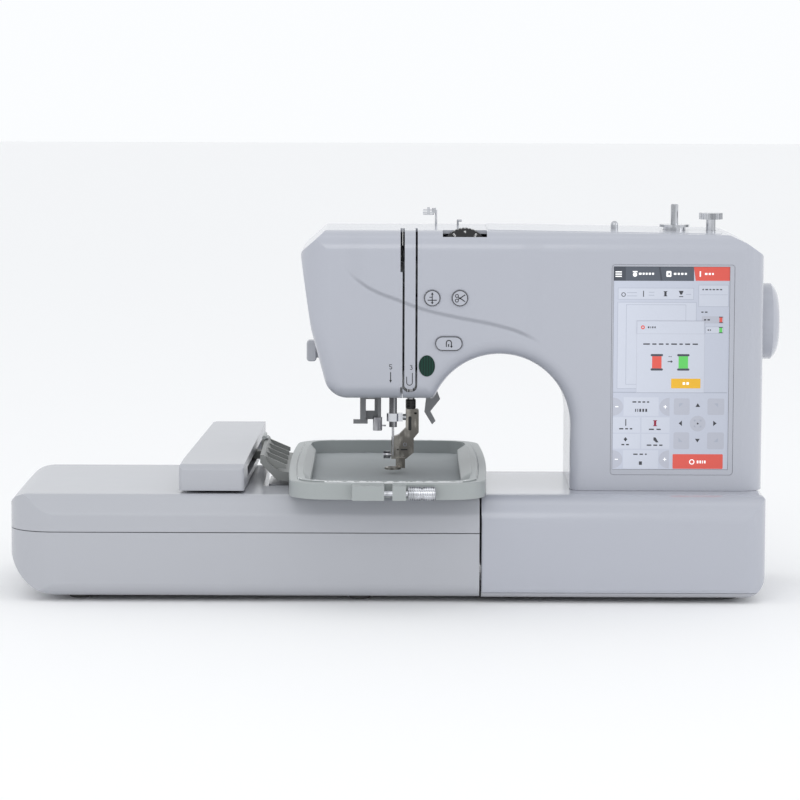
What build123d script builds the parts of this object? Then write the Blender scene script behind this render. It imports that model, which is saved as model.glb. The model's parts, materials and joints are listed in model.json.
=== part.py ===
from build123d import *
import os

# Embroidery machine: base, pillar, arm and head, with an embroidery unit, carriage and hoop.
# X runs to the machine's right, Y to its back and Z up. The origin is the middle of the footprint.

os.makedirs("parts", exist_ok=True)

# ---- driving dimensions, millimetres ----
wall = 2.8                    # moulded case walls
thin_wall = 2.2               # small covers
seam_gap = 0.3                # between two case parts
run_gap = 0.05                # radial, shaft in bush
clear = 0.4                   # between parts that pass each other
reach = 600                   # longer than the machine, for cuts that go right through

foot_height = 4.2
foot_radius = 8.0
front_y = -121.5              # front of the base and the embroidery unit
bed_z = 80.0                  # top of the base, the free arm and the unit

base_left = 60.5
base_right = 272.5
base_back = 42.0

unit_left = -293.2
unit_taper = 9.0              # the unit's left side runs in towards the back
unit_right = 59.0
unit_back = 73.5
unit_arm_right = -103.5       # the unit's deep part ends here, left of the free arm
unit_step_y = -61.5           # back of the unit's front arm, which passes before the free arm
unit_seam_z = 52.6

arm_front = -83.5             # front face of pillar, arm and head
arm_back = 30.0
shell_seam_y = 2.0            # front cover meets rear cover
arm_top = 274.6
pillar_left = 127.5
arch_radius = 53.0
arch_z = 129.0                # centre of the arch over the bed
head_bottom = 148.5
head_left = -75.5

needle_x = -5.6
needle_y = -24.5
bar_radius = 3.0              # needle bar and presser bar
needle_stroke = 33.0
presser_x = 8.0
presser_y = -14.0

shaft_z = 203.6
shaft_radius = 6.0
handwheel_radius = 29.0
handwheel_face = 288.0

screen_left = 159.0           # lit area of the display
screen_right = 246.0
screen_low = 96.1
screen_high = 248.8
screen_recess = 0.9           # glass behind the front face

slot_left = 1.3               # left thread slot, at its narrow part
strip_left = 2.9
strip_right = 11.0
slot_right = 12.6
strip_bottom = 156.0
slot_back = -44.0             # the thread slots end here on the arm's top

free_arm_left = -100.0
free_arm_front = -60.8
free_arm_back = 8.5
free_arm_low = 20.0

hook_y = -40.5
hook_radius = 15.0

carriage_left = -164.9
carriage_right = -116.3
carriage_taper_left = 12.9    # how far each side runs in or out towards the back
carriage_taper_right = 6.3
carriage_front = -106.5
carriage_back = 169.5
carriage_low = 82.0
carriage_high = 104.0

hoop_x = -9.5
hoop_y = -20.0
hoop_half_width = 75.0
hoop_half_length = 139.0
hoop_low = 82.4
hoop_high = 94.4
hoop_wall = 6.2
hoop_inner_wall = 4.6
hoop_seat_gap = 0.25          # inner ring in outer ring
fabric_z = 84.6
fabric_thick = 0.8

winder_x = 208.3
winder_y = -24.5
spindle_radius = 2.9
spindle_top = 292.6

arm_fall_start = 62.0         # right of here the arm's top falls towards the handwheel
arm_fall_end = 246.0
arm_fall = 2.6

origin_shift = -(unit_left + handwheel_face) / 2   # brings the middle of the width over the origin


def save(piece, label):
    """Move a finished piece into the machine's own frame, label it and write its STEP file."""
    placed = piece.part.moved(Location((origin_shift, 0, 0)))
    placed.label = label
    export_step(placed, f"parts/{label}.step")


def arm_top_at(x):
    """Height of the arm's top at a place along it."""
    share = min(max((x - arm_fall_start) / (arm_fall_end - arm_fall_start), 0), 1)
    return arm_top - arm_fall * share


def block(low, high, mode=Mode.ADD):
    """Box between two corners, in the part being built."""
    middle = [(a + b) / 2 for a, b in zip(low, high)]
    size = [b - a for a, b in zip(low, high)]
    with Locations(tuple(middle)):
        Box(*size, mode=mode)


def rod(radius, start, end, mode=Mode.ADD):
    """Round bar between two points on a line along X, Y or Z, in the part being built."""
    middle = [(a + b) / 2 for a, b in zip(start, end)]
    run = [b - a for a, b in zip(start, end)]
    length = max(abs(step) for step in run)
    turn = (0, 0, 0)
    if abs(run[0]) == length:
        turn = (0, 90, 0)
    elif abs(run[1]) == length:
        turn = (90, 0, 0)
    with Locations(Location(tuple(middle), turn)):
        Cylinder(radius, length, mode=mode)


def near(sketch, x, y):
    """Corner of a sketch nearest a point."""
    return sketch.vertices().sort_by_distance((x, y))[0]


# ---- case forms: each is a front outline, a side outline and a plan, crossed ----

def arm_form(inset):
    """Pillar, arm and head as one solid, taken in by a wall."""
    with BuildPart() as form:
        with BuildSketch(Plane.XZ) as outline:
            with BuildLine():
                Polyline(
                    (-56.5, arm_top),
                    (head_left, 257.5),
                    (-67.0, 199.0),
                    (-53.5, head_bottom),
                    (pillar_left - arch_radius, head_bottom),
                    (pillar_left - arch_radius, arch_z),
                    (pillar_left, arch_z),
                    (pillar_left, bed_z),
                    (base_right, bed_z),
                    (base_right, 256.5),
                    (base_right - 13.5, 266.0),
                    (arm_fall_end, arm_top - arm_fall),
                    (arm_fall_start, arm_top),
                    close=True,
                )
            make_face()
            with Locations((pillar_left - arch_radius, arch_z)):
                Circle(arch_radius, mode=Mode.SUBTRACT)
            fillet(near(outline, -56.5, arm_top), radius=4)
            fillet(near(outline, head_left, 257.5), radius=6)
            fillet(near(outline, -53.5, head_bottom), radius=18)
            fillet(near(outline, 25.2, head_bottom), radius=6)
            fillet(near(outline, base_right, 256.5), radius=5)
            fillet(near(outline, arm_fall_end, arm_top - arm_fall), radius=8)
            if inset:
                offset(amount=-inset, mode=Mode.REPLACE)
                middle_x = (pillar_left + base_right) / 2
                with Locations((middle_x, bed_z)):
                    Rectangle(base_right - pillar_left - 2 * inset, 40)
        extrude(amount=reach, both=True)
        with BuildSketch(Plane.YZ) as side:
            with BuildLine():
                Polyline(
                    (arm_front, 0),
                    (arm_front, arm_top),
                    (arm_back, arm_top),
                    (arm_back, 0),
                    close=True,
                )
            make_face()
            fillet(near(side, arm_front, arm_top), radius=15)
            fillet(near(side, arm_back, arm_top), radius=14)
            if inset:
                offset(amount=-inset, mode=Mode.REPLACE)
        extrude(amount=reach, both=True, mode=Mode.INTERSECT)
        with BuildSketch(Plane.XY) as plan:
            with Locations(((head_left + base_right) / 2, (arm_front + arm_back) / 2)):
                Rectangle(base_right - head_left, arm_back - arm_front)
            fillet(near(plan, base_right, arm_front), radius=17)
            fillet(near(plan, head_left, arm_front), radius=22)
            fillet(near(plan, base_right, arm_back), radius=12)
            fillet(near(plan, head_left, arm_back), radius=12)
            if inset:
                offset(amount=-inset, mode=Mode.REPLACE)
        extrude(amount=reach, both=True, mode=Mode.INTERSECT)
    return form.part


def soft_arch(form, inset, radius):
    """Round the front edge of the arch and the pillar's inner wall."""
    with BuildPart() as softened:
        add(form)
        arch_edges = (
            softened.edges()
            .filter_by_position(Axis.Y, arm_front + inset - 0.1, arm_front + inset + 0.1)
            .filter_by_position(Axis.X, 14, pillar_left + inset + 0.5)
            .filter_by_position(Axis.Z, bed_z - 30, 188)
        )
        fillet(arch_edges, radius=radius)
    return softened.part


def base_form(inset):
    """Right-hand base under the pillar and the arch."""
    with BuildPart() as form:
        with BuildSketch(Plane.XZ) as outline:
            with BuildLine():
                Polyline(
                    (base_left, foot_height),
                    (base_right, foot_height),
                    (base_right, bed_z),
                    (base_left, bed_z),
                    close=True,
                )
            make_face()
            fillet(near(outline, base_right, foot_height), radius=18)
            fillet(near(outline, base_right, bed_z), radius=5)
            fillet(near(outline, base_left, bed_z), radius=3.5)
            if inset:
                offset(amount=-inset, mode=Mode.REPLACE)
        extrude(amount=reach, both=True)
        with BuildSketch(Plane.YZ) as side:
            with BuildLine():
                Polyline(
                    (front_y, foot_height),
                    (front_y, bed_z),
                    (base_back, bed_z),
                    (base_back, foot_height),
                    close=True,
                )
            make_face()
            fillet(near(side, front_y, bed_z), radius=20)
            fillet(near(side, front_y, foot_height), radius=7)
            fillet(near(side, base_back, bed_z), radius=11)
            if inset:
                offset(amount=-inset, mode=Mode.REPLACE)
        extrude(amount=reach, both=True, mode=Mode.INTERSECT)
        with BuildSketch(Plane.XY) as plan:
            with Locations(((base_left + base_right) / 2, (front_y + base_back) / 2)):
                Rectangle(base_right - base_left, base_back - front_y)
            fillet(near(plan, base_right, front_y), radius=16)
            fillet(near(plan, base_right, base_back), radius=14)
            fillet(near(plan, base_left, front_y), radius=1.5)
            if inset:
                offset(amount=-inset, mode=Mode.REPLACE)
        extrude(amount=reach, both=True, mode=Mode.INTERSECT)
    return form.part


def unit_form(inset):
    """Embroidery unit: a deep block at the left and a shallow arm before the free arm."""
    with BuildPart() as form:
        with BuildSketch(Plane.XZ) as outline:
            with BuildLine():
                Polyline(
                    (unit_left, foot_height),
                    (unit_right, foot_height),
                    (unit_right, bed_z),
                    (unit_left, bed_z),
                    close=True,
                )
            make_face()
            fillet(near(outline, unit_left, foot_height), radius=42)
            fillet(near(outline, unit_left, bed_z), radius=16)
            fillet(near(outline, unit_right, bed_z), radius=3.5)
            if inset:
                offset(amount=-inset, mode=Mode.REPLACE)
        extrude(amount=reach, both=True)
        with BuildSketch(Plane.YZ) as side:
            with BuildLine():
                Polyline(
                    (front_y, foot_height),
                    (front_y, bed_z - 14),
                    (front_y + 7, bed_z),
                    (unit_back, bed_z),
                    (unit_back, foot_height),
                    close=True,
                )
            make_face()
            fillet(near(side, front_y, foot_height), radius=10)
            fillet(near(side, front_y, bed_z - 14), radius=6)
            fillet(near(side, front_y + 7, bed_z), radius=8)
            fillet(near(side, unit_back, bed_z), radius=8)
            if inset:
                offset(amount=-inset, mode=Mode.REPLACE)
        extrude(amount=reach, both=True, mode=Mode.INTERSECT)
        with BuildSketch(Plane.XY) as plan:
            with BuildLine():
                Polyline(
                    (unit_left, front_y),
                    (unit_right, front_y),
                    (unit_right, unit_step_y),
                    (unit_arm_right, unit_step_y),
                    (unit_arm_right, unit_back),
                    (unit_left + unit_taper, unit_back),
                    close=True,
                )
            make_face()
            fillet(near(plan, unit_left, front_y), radius=34)
            fillet(near(plan, unit_left + unit_taper, unit_back), radius=34)
            fillet(near(plan, unit_arm_right, unit_back), radius=4)
            if inset:
                offset(amount=-inset, mode=Mode.REPLACE)
        extrude(amount=reach, both=True, mode=Mode.INTERSECT)
    return form.part


arch_softness = 11.0
arm_outer = soft_arch(arm_form(0), 0, arch_softness)
arm_inner = soft_arch(arm_form(wall), wall, arch_softness - wall)
base_outer = base_form(0)
base_inner = base_form(wall)
unit_outer = unit_form(0)
unit_inner = unit_form(wall)

# ---- places worked out from the driving dimensions ----
needle_button_x = 23.5
trim_button_x = 44.2
round_button_z = 224.7
round_button_radius = 6.1
start_button_x = 36.1
start_button_z = 190.6
start_button_width = 20.5
start_button_height = 10.9
lens_x = 19.7
lens_z = 173.7
lens_width = 12.2
lens_height = 16.0
button_gap = 0.25
button_proud = 1.3
dial_x = 47.8
dial_z = 259.7
dial_radius = 17.0
lifter_room = 34.0             # right end of the opening that the presser lifter hangs in
dial_front = -78.0
dial_back = -68.0
shell_low = bed_z + seam_gap / 2
inlet_y = 10.0
switch_y = -20.0
side_port_z = 44.0
frame_y = 8.0                 # front of the cast frame's back plate
frame_thick = 5.0

top_cover_left = 65.0
top_cover_right = 241.5
top_cover_front = -66.0
top_cover_back = 22.0
lid_depth = 1.0               # the lid lies in a shallow recess in the arm's top
lid_proud = 0.35
winder_hole_radius = 9.0
stop_x = 236.0
stop_hole_radius = 4.2
nub_x = 162.6
nub_radius = 2.9


def lid_form(gap, height, lift):
    """The lid of the arm's top, or with a gap the recess that it lies in."""
    left = top_cover_left - gap
    right = top_cover_right + gap
    low_shift = lift - lid_depth
    with BuildPart() as lid:
        with BuildSketch(Plane.XZ):
            with BuildLine():
                Polyline(
                    (left, arm_top_at(left) + low_shift),
                    (right, arm_top_at(right) + low_shift),
                    (right, arm_top_at(right) + height),
                    (left, arm_top_at(left) + height),
                    close=True,
                )
            make_face()
        extrude(amount=reach, both=True)
        with BuildSketch(Plane.XY):
            with Locations(((left + right) / 2, (top_cover_front + top_cover_back) / 2)):
                RectangleRounded(right - left, top_cover_back - top_cover_front + 2 * gap, 7 + gap)
        extrude(amount=reach, both=True, mode=Mode.INTERSECT)
    return lid.part


lid_recess = lid_form(0.15, 10, 0)

# ---- pillar, arm and head covers ----
with BuildPart() as front_cover:
    add(arm_outer)
    add(arm_inner, mode=Mode.SUBTRACT)
    block((-200, shell_seam_y - seam_gap / 2, 0), (400, 200, 400), Mode.SUBTRACT)
    block((-200, -200, 0), (slot_left + seam_gap, 200, 400), Mode.SUBTRACT)
    # thread slot opening round the take-up strip
    with BuildSketch(Plane.XZ.offset(-slot_back)) as slot_cut:
        with Locations(((slot_left + slot_right) / 2, (strip_bottom - 2.2 + 400) / 2)):
            Rectangle(slot_right - slot_left, 400 - strip_bottom + 2.2)
        fillet(slot_cut.vertices().sort_by(Axis.Y)[:2], radius=5)
    extrude(amount=200, mode=Mode.SUBTRACT)
    # display window with a sloping edge
    with BuildSketch(Plane.XZ.offset(-arm_front + 1)):
        with Locations(((screen_left + screen_right) / 2 + 1.1, (screen_low + screen_high) / 2 - 1.3)):
            RectangleRounded(screen_right - screen_left + 5.0, screen_high - screen_low + 5.6, 2.5)
    extrude(amount=-wall - 3, mode=Mode.SUBTRACT)
    # button, lens and dial openings
    with BuildSketch(Plane.XZ.offset(-arm_front + 1)):
        with Locations((needle_button_x, round_button_z), (trim_button_x, round_button_z)):
            Circle(round_button_radius + button_gap)
        with Locations((start_button_x, start_button_z)):
            SlotOverall(start_button_width + 2 * button_gap, start_button_height + 2 * button_gap)
        with Locations((lens_x, lens_z)):
            Ellipse(lens_width / 2, lens_height / 2)
    extrude(amount=-wall - 3, mode=Mode.SUBTRACT)
    dial_room = dial_radius - 0.5
    block(
        (dial_x - dial_room, dial_front - 1.2, dial_z + 3),
        (dial_x + dial_room, dial_back + 1.2, 300),
        Mode.SUBTRACT,
    )
    # opening under the head for the bars, and the shaft hole in the right wall
    block((-60, -62, head_bottom - 5), (22, 60, head_bottom + wall + 1), Mode.SUBTRACT)
    rod(shaft_radius + 1, (base_right - 20, needle_y, shaft_z), (base_right + 20, needle_y, shaft_z),
        Mode.SUBTRACT)
    block((18, -23, head_bottom - 5), (lifter_room, 60, head_bottom + 8), Mode.SUBTRACT)
    # winder spindle, winder stop and guide holes in the top
    for hole_x, hole_radius in ((winder_x, winder_hole_radius), (stop_x, stop_hole_radius)):
        rod(hole_radius, (hole_x, winder_y, 240), (hole_x, winder_y, 300), Mode.SUBTRACT)
    add(lid_recess, mode=Mode.SUBTRACT)
    block((-200, -200, 0), (400, 200, shell_low), Mode.SUBTRACT)
save(front_cover, "front_cover")

with BuildPart() as rear_cover:
    add(arm_outer)
    add(arm_inner, mode=Mode.SUBTRACT)
    block((-200, -200, 0), (400, shell_seam_y + seam_gap / 2, 400), Mode.SUBTRACT)
    block((-200, -200, 0), (slot_left + seam_gap, 200, 400), Mode.SUBTRACT)
    block((-60, -62, head_bottom - 5), (22, 60, head_bottom + wall + 1), Mode.SUBTRACT)
    block((18, -23, head_bottom - 5), (lifter_room, 16, head_bottom + 8), Mode.SUBTRACT)
    for z in range(110, 240, 9):
        block((165, arm_back - 6, z), (240, arm_back + 2, z + 3), Mode.SUBTRACT)
    add(lid_recess, mode=Mode.SUBTRACT)
    block((-200, -200, 0), (400, 200, shell_low), Mode.SUBTRACT)
save(rear_cover, "rear_cover")

with BuildPart() as face_cover:
    add(arm_outer)
    add(arm_inner, mode=Mode.SUBTRACT)
    block((slot_left, -200, 0), (400, 200, 400), Mode.SUBTRACT)
    block((-0.3, -200, 244), (20, slot_back, 400), Mode.SUBTRACT)
    block((-0.3, -200, 0), (20, arm_front + 6, strip_bottom + 1.5), Mode.SUBTRACT)
    block((-46, -62, head_bottom - 5), (22, 60, head_bottom + wall + 1), Mode.SUBTRACT)
    block((-100, -23.7, 152), (-45, -17.3, 184), Mode.SUBTRACT)
save(face_cover, "face_cover")

with BuildPart() as takeup_strip:
    add(arm_outer)
    add(arm_inner, mode=Mode.SUBTRACT)
    with BuildSketch(Plane.XZ) as strip_outline:
        with Locations(((strip_left + strip_right) / 2, (strip_bottom + 400) / 2)):
            Rectangle(strip_right - strip_left, 400 - strip_bottom)
        fillet(strip_outline.vertices().sort_by(Axis.Y)[:2], radius=3.6)
    extrude(amount=reach, both=True, mode=Mode.INTERSECT)
    block((-200, slot_back - seam_gap, 0), (400, 200, 400), Mode.SUBTRACT)
save(takeup_strip, "takeup_strip")

with BuildPart() as top_cover:
    add(lid_form(0, lid_proud, 0.05))
    chamfer(top_cover.faces().sort_by(Axis.Z)[-1].edges(), length=0.4)
    for hole_x, hole_radius in ((winder_x, winder_hole_radius), (stop_x, stop_hole_radius), (nub_x, nub_radius)):
        rod(hole_radius, (hole_x, winder_y, 260), (hole_x, winder_y, 300), Mode.SUBTRACT)
save(top_cover, "top_cover")

# ---- base ----
with BuildPart() as base_housing:
    add(base_outer)
    add(base_inner, mode=Mode.SUBTRACT)
    block((base_left - 5, free_arm_front + 4, free_arm_low + 4),
          (base_left + wall + 1, free_arm_back - 4, bed_z - 6), Mode.SUBTRACT)
    # room for the pillar's inner works
    block((pillar_left + 6, arm_front + 8, bed_z - 6), (base_right - 8, arm_back - 6, bed_z + 5),
          Mode.SUBTRACT)
    block((base_left - 5, front_y - 5, 0), (base_right + 5, base_back + 5, foot_height + 4),
          Mode.SUBTRACT)
    block((base_right - 10, switch_y - 9 - seam_gap, side_port_z - 13 - seam_gap),
          (base_right + 5, inlet_y + 14 + seam_gap, side_port_z + 13 + seam_gap), Mode.SUBTRACT)
save(base_housing, "base_housing")

with BuildPart() as bottom_plate:
    add(base_outer)
    block((base_left - 5, front_y - 5, foot_height + 4 - seam_gap), (400, 200, 400), Mode.SUBTRACT)
    block((base_left + 12, front_y + 12, foot_height + 2), (base_right - 18, base_back - 12, 40),
          Mode.SUBTRACT)
save(bottom_plate, "bottom_plate")

# ---- free arm, needle plate, hook and bobbin ----
plate_low = bed_z - 1.6
plate_left = -52.0
plate_right = 44.0
plate_front = -56.6
plate_back = 3.0
bobbin_cover_left = -25.0
bobbin_cover_right = 17.0
bobbin_cover_back = -30.5
free_arm_right = base_left - seam_gap
free_wall = 2.4

with BuildPart() as free_arm_cover:
    block((free_arm_left, free_arm_front, free_arm_low), (free_arm_right, free_arm_back, bed_z))
    left_edges = free_arm_cover.edges().filter_by(Axis.Z).group_by(Axis.X)[0]
    fillet(left_edges, radius=14)
    block((free_arm_left + 16, free_arm_front + free_wall, free_arm_low + free_wall),
          (free_arm_right + 5, free_arm_back - free_wall, bed_z - free_wall), Mode.SUBTRACT)
    block((plate_left - 0.2, plate_front - 0.2, plate_low), (plate_right + 0.2, plate_back + 0.2, 90),
          Mode.SUBTRACT)
    block((plate_left + 3, plate_front + 1, bed_z - 5), (plate_right - 3, plate_back - 3, 90),
          Mode.SUBTRACT)
save(free_arm_cover, "free_arm_cover")

with BuildPart() as needle_plate:
    block((plate_left, plate_front, plate_low), (plate_right, plate_back, bed_z))
    block((bobbin_cover_left - 0.2, plate_front - 1, 0), (bobbin_cover_right + 0.2, bobbin_cover_back, 90),
          Mode.SUBTRACT)
    rod(1.4, (needle_x, needle_y, 70), (needle_x, needle_y, 90), Mode.SUBTRACT)
    for slit in (-7, 7):
        block((needle_x + slit - 1, needle_y + 3, 0), (needle_x + slit + 1, -4, 90), Mode.SUBTRACT)
save(needle_plate, "needle_plate")

with BuildPart() as bobbin_cover:
    block((bobbin_cover_left, plate_front + 0.2, plate_low), (bobbin_cover_right, bobbin_cover_back - 0.2, bed_z))
save(bobbin_cover, "bobbin_cover")

hook_low = 61.0
hook_high = 75.5
hook_wall = 1.6
bobbin_low = hook_low + 3.9
bobbin_height = 10.2
hook_spindle = 4.0
hook_gear_low = 51.0
hook_gear_radius = 9.0
lower_y = -25.2
lower_z = 54.0
lower_radius = 4.0
lower_gear_radius = 6.0

with BuildPart() as rotary_hook:
    rod(hook_radius, (needle_x, hook_y, hook_low), (needle_x, hook_y, hook_high))
    rod(hook_radius - hook_wall, (needle_x, hook_y, hook_low + 2), (needle_x, hook_y, 90), Mode.SUBTRACT)
    rod(hook_gear_radius - 1, (needle_x, hook_y, hook_gear_low), (needle_x, hook_y, hook_gear_low + 5))
    with BuildSketch(Plane.XY.offset(hook_gear_low)):
        with Locations((needle_x, hook_y)):
            with PolarLocations(hook_gear_radius - 1, 16):
                Rectangle(2.0, 1.5)
    extrude(amount=5)
    rod(hook_spindle, (needle_x, hook_y, 32), (needle_x, hook_y, hook_low + 1))
save(rotary_hook, "rotary_hook")

with BuildPart() as bobbin_case:
    rod(hook_radius - hook_wall - 0.3, (needle_x, hook_y, hook_low + 2.3), (needle_x, hook_y, 76.0))
    rod(hook_radius - hook_wall - 1.9, (needle_x, hook_y, hook_low + 3.6), (needle_x, hook_y, 90),
        Mode.SUBTRACT)
    rod(2.4, (needle_x, hook_y, hook_low + 3), (needle_x, hook_y, hook_low + 9))
    block((needle_x - 20, hook_y - 3, 75.8), (needle_x - 11.8, hook_y + 3, 77.4))
save(bobbin_case, "bobbin_case")

with BuildPart() as bobbin:
    rod(10.2, (needle_x, hook_y, bobbin_low), (needle_x, hook_y, bobbin_low + bobbin_height))
    rod(10.3, (needle_x, hook_y, bobbin_low + 1.2), (needle_x, hook_y, bobbin_low + bobbin_height - 1.2),
        Mode.SUBTRACT)
    rod(4.5, (needle_x, hook_y, bobbin_low), (needle_x, hook_y, bobbin_low + bobbin_height))
    rod(2.4 + run_gap, (needle_x, hook_y, 60), (needle_x, hook_y, 80), Mode.SUBTRACT)
save(bobbin, "bobbin")

# ---- cast frame and drive ----
bed_plate_low = 25.0
bed_plate_top = 30.0
belt_thick = 1.6
belt_gap = 0.3                # pulley rim inside its belt
lower_belt_x = 222.0
lower_belt_width = 8.0
upper_pulley_radius = 22.0
lower_pulley_radius = 11.0
motor_x = 172.0
motor_length = 46.0
motor_radius = 21.0
motor_z = 128.0
drive_belt_x = 242.0
drive_belt_width = 7.0
motor_pulley_radius = 7.0
drive_pulley_radius = 25.0
crank_x = 14.0
crank_radius = 21.0
take_up_y = -42.0
take_up_z = 232.0
lift_x = 24.0
lift_z = 145.0
frame_back = frame_y + frame_thick
frame_right = 251.0
winder_bush_low = 264.0

with BuildPart() as cast_frame:
    block((-42, frame_y, 190), (frame_right, frame_back, 258))
    block((145, frame_y, bed_plate_low), (frame_right, frame_back, 190))
    block((-82, -55, bed_plate_low), (frame_right, 4, bed_plate_top))
    block((145, 0, bed_plate_low), (frame_right, frame_back, bed_plate_top))
    # guides for the needle bar and the presser bar
    for low in (156, 240):
        block((-11, -32, low), (16, frame_back, low + 9))
        rod(bar_radius + run_gap, (needle_x, needle_y, low - 1), (needle_x, needle_y, low + 10),
            Mode.SUBTRACT)
    rod(bar_radius + run_gap, (presser_x, presser_y, 155), (presser_x, presser_y, 166), Mode.SUBTRACT)
    block((-11, frame_y, 143), (22, frame_back, 192))
    # bearing blocks of the main shaft
    for low in (32, 204):
        block((low, needle_y - 13, shaft_z - 12), (low + 12, frame_y + 1, shaft_z + 12))
        rod(shaft_radius + run_gap, (low - 1, needle_y, shaft_z), (low + 13, needle_y, shaft_z),
            Mode.SUBTRACT)
    # bearing blocks of the lower shaft
    for low in (20, 200):
        block((low, lower_y - 9, bed_plate_top - 1), (low + 10, lower_y + 9, lower_z + 9))
        rod(lower_radius + run_gap, (low - 1, lower_y, lower_z), (low + 11, lower_y, lower_z),
            Mode.SUBTRACT)
    # upright bush of the hook
    rod(9, (needle_x, hook_y, bed_plate_top - 1), (needle_x, hook_y, 48))
    rod(hook_spindle + run_gap, (needle_x, hook_y, bed_plate_low - 1), (needle_x, hook_y, 49),
        Mode.SUBTRACT)
    # motor plate
    block((motor_x - 5, needle_y - 24, motor_z - 24), (motor_x, frame_y + 1, motor_z + 24))
    # pins that carry the take-up lever, the tension dial and the presser lifter
    block((8, take_up_y - 6, take_up_z - 6), (12, -30, 249))
    rod(2.5, (1.6, take_up_y, take_up_z), (9, take_up_y, take_up_z))
    rod(3, (dial_x, dial_front + 1, dial_z), (dial_x, frame_y + 1, dial_z))
    block((lift_x - 4, frame_y, lift_z - 2), (lift_x + 4, frame_back, lift_z + 4))
    rod(2.5, (lift_x, -19, lift_z), (lift_x, frame_y + 1, lift_z))
    # bosses that carry the covers
    for boss_x, boss_z in ((60, 250), (200, 250), (246, 110), (246, 225)):
        rod(3.5, (boss_x, frame_back - 1, boss_z), (boss_x, arm_back - wall, boss_z))
    # feet of the frame on the bottom plate
    for foot_x, foot_y in ((82, -48), (82, -4), (240, -48), (240, -4)):
        rod(5, (foot_x, foot_y, foot_height + 2), (foot_x, foot_y, bed_plate_low + 1))
    # bush of the bobbin winder
    block((winder_x - 6, winder_y, 250), (winder_x + 6, frame_y + 1, 254))
    rod(7, (winder_x, winder_y, 250), (winder_x, winder_y, winder_bush_low + 5))
    rod(spindle_radius + run_gap, (winder_x, winder_y, 240), (winder_x, winder_y, 300), Mode.SUBTRACT)
save(cast_frame, "cast_frame")

with BuildPart() as main_shaft:
    rod(shaft_radius, (crank_x + 3, needle_y, shaft_z), (base_right + 8, needle_y, shaft_z))
    rod(crank_radius, (crank_x, needle_y, shaft_z), (crank_x + 6, needle_y, shaft_z))
    rod(2.5, (crank_x - 5, needle_y, shaft_z + needle_stroke / 2),
        (crank_x + 1, needle_y, shaft_z + needle_stroke / 2))
    # pulleys pressed on the shaft
    for low, width, radius in (
        (lower_belt_x, lower_belt_width, upper_pulley_radius),
        (drive_belt_x, drive_belt_width, drive_pulley_radius),
    ):
        rod(radius - belt_gap, (low + 0.5, needle_y, shaft_z), (low + width - 0.5, needle_y, shaft_z))
        rod(10, (low + 0.5, needle_y, shaft_z), (low + width + 4, needle_y, shaft_z))
save(main_shaft, "main_shaft")

with BuildPart() as lower_shaft:
    rod(lower_radius, (-12, lower_y, lower_z), (lower_belt_x + 12, lower_y, lower_z))
    rod(lower_gear_radius - 1, (-8, lower_y, lower_z), (6, lower_y, lower_z))
    with BuildSketch(Plane.YZ.offset(-8)):
        with Locations((lower_y, lower_z)):
            with PolarLocations(lower_gear_radius - 1, 10):
                Rectangle(1.8, 1.5)
    extrude(amount=14)
    rod(lower_pulley_radius - belt_gap, (lower_belt_x + 0.5, lower_y, lower_z),
        (lower_belt_x + lower_belt_width - 0.5, lower_y, lower_z))
save(lower_shaft, "lower_shaft")

with BuildPart() as drive_belts:
    for low, width, top_radius, low_y, low_z, low_radius in (
        (lower_belt_x, lower_belt_width, upper_pulley_radius, lower_y, lower_z, lower_pulley_radius),
        (drive_belt_x, drive_belt_width, drive_pulley_radius, needle_y, motor_z, motor_pulley_radius),
    ):
        for grow, mode in ((belt_thick, Mode.ADD), (0, Mode.SUBTRACT)):
            with BuildSketch(Plane.YZ.offset(low)):
                with Locations((needle_y, shaft_z)):
                    Circle(top_radius + grow)
                with Locations((low_y, low_z)):
                    Circle(low_radius + grow)
                make_hull()
            extrude(amount=width, mode=mode)
save(drive_belts, "drive_belts")

with BuildPart() as motor:
    rod(motor_radius, (motor_x, needle_y, motor_z), (motor_x + motor_length, needle_y, motor_z))
    rod(2.5 + run_gap, (motor_x + 20, needle_y, motor_z), (motor_x + 60, needle_y, motor_z), Mode.SUBTRACT)
save(motor, "motor")

with BuildPart() as motor_pulley:
    rod(2.5, (motor_x + 21, needle_y, motor_z), (drive_belt_x + drive_belt_width, needle_y, motor_z))
    rod(motor_pulley_radius - belt_gap, (drive_belt_x + 0.5, needle_y, motor_z),
        (drive_belt_x + drive_belt_width - 0.5, needle_y, motor_z))
save(motor_pulley, "motor_pulley")

with BuildPart() as handwheel:
    wheel_start = base_right + 0.8
    with BuildSketch(Plane.XY.offset(shaft_z)):
        with BuildLine():
            Polyline((wheel_start, needle_y), (wheel_start, needle_y + handwheel_radius))
            Line((wheel_start, needle_y + handwheel_radius), (handwheel_face - 6, needle_y + handwheel_radius))
            ThreePointArc(
                (handwheel_face - 6, needle_y + handwheel_radius),
                (handwheel_face - 1.6, needle_y + handwheel_radius - 6),
                (handwheel_face - 0.4, needle_y + handwheel_radius - 14),
            )
            Line((handwheel_face - 0.4, needle_y + handwheel_radius - 14), (handwheel_face, needle_y))
            Line((handwheel_face, needle_y), (wheel_start, needle_y))
        make_face()
    revolve(axis=Axis((0, needle_y, shaft_z), (1, 0, 0)))
    rod(shaft_radius, (base_right, needle_y, shaft_z), (base_right + 8, needle_y, shaft_z), Mode.SUBTRACT)
save(handwheel, "handwheel")

# ---- needle bar, presser bar, threader, levers ----
clamp_low = 125.6
clamp_high = 131.8
needle_tip = 97.0

with BuildPart() as needle_bar:
    rod(bar_radius, (needle_x, needle_y, clamp_low - 4.5), (needle_x, needle_y, 256))
    rod(0.9, (needle_x, needle_y, clamp_low - 6), (needle_x, needle_y, clamp_low + 6), Mode.SUBTRACT)
save(needle_bar, "needle_bar")

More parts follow.
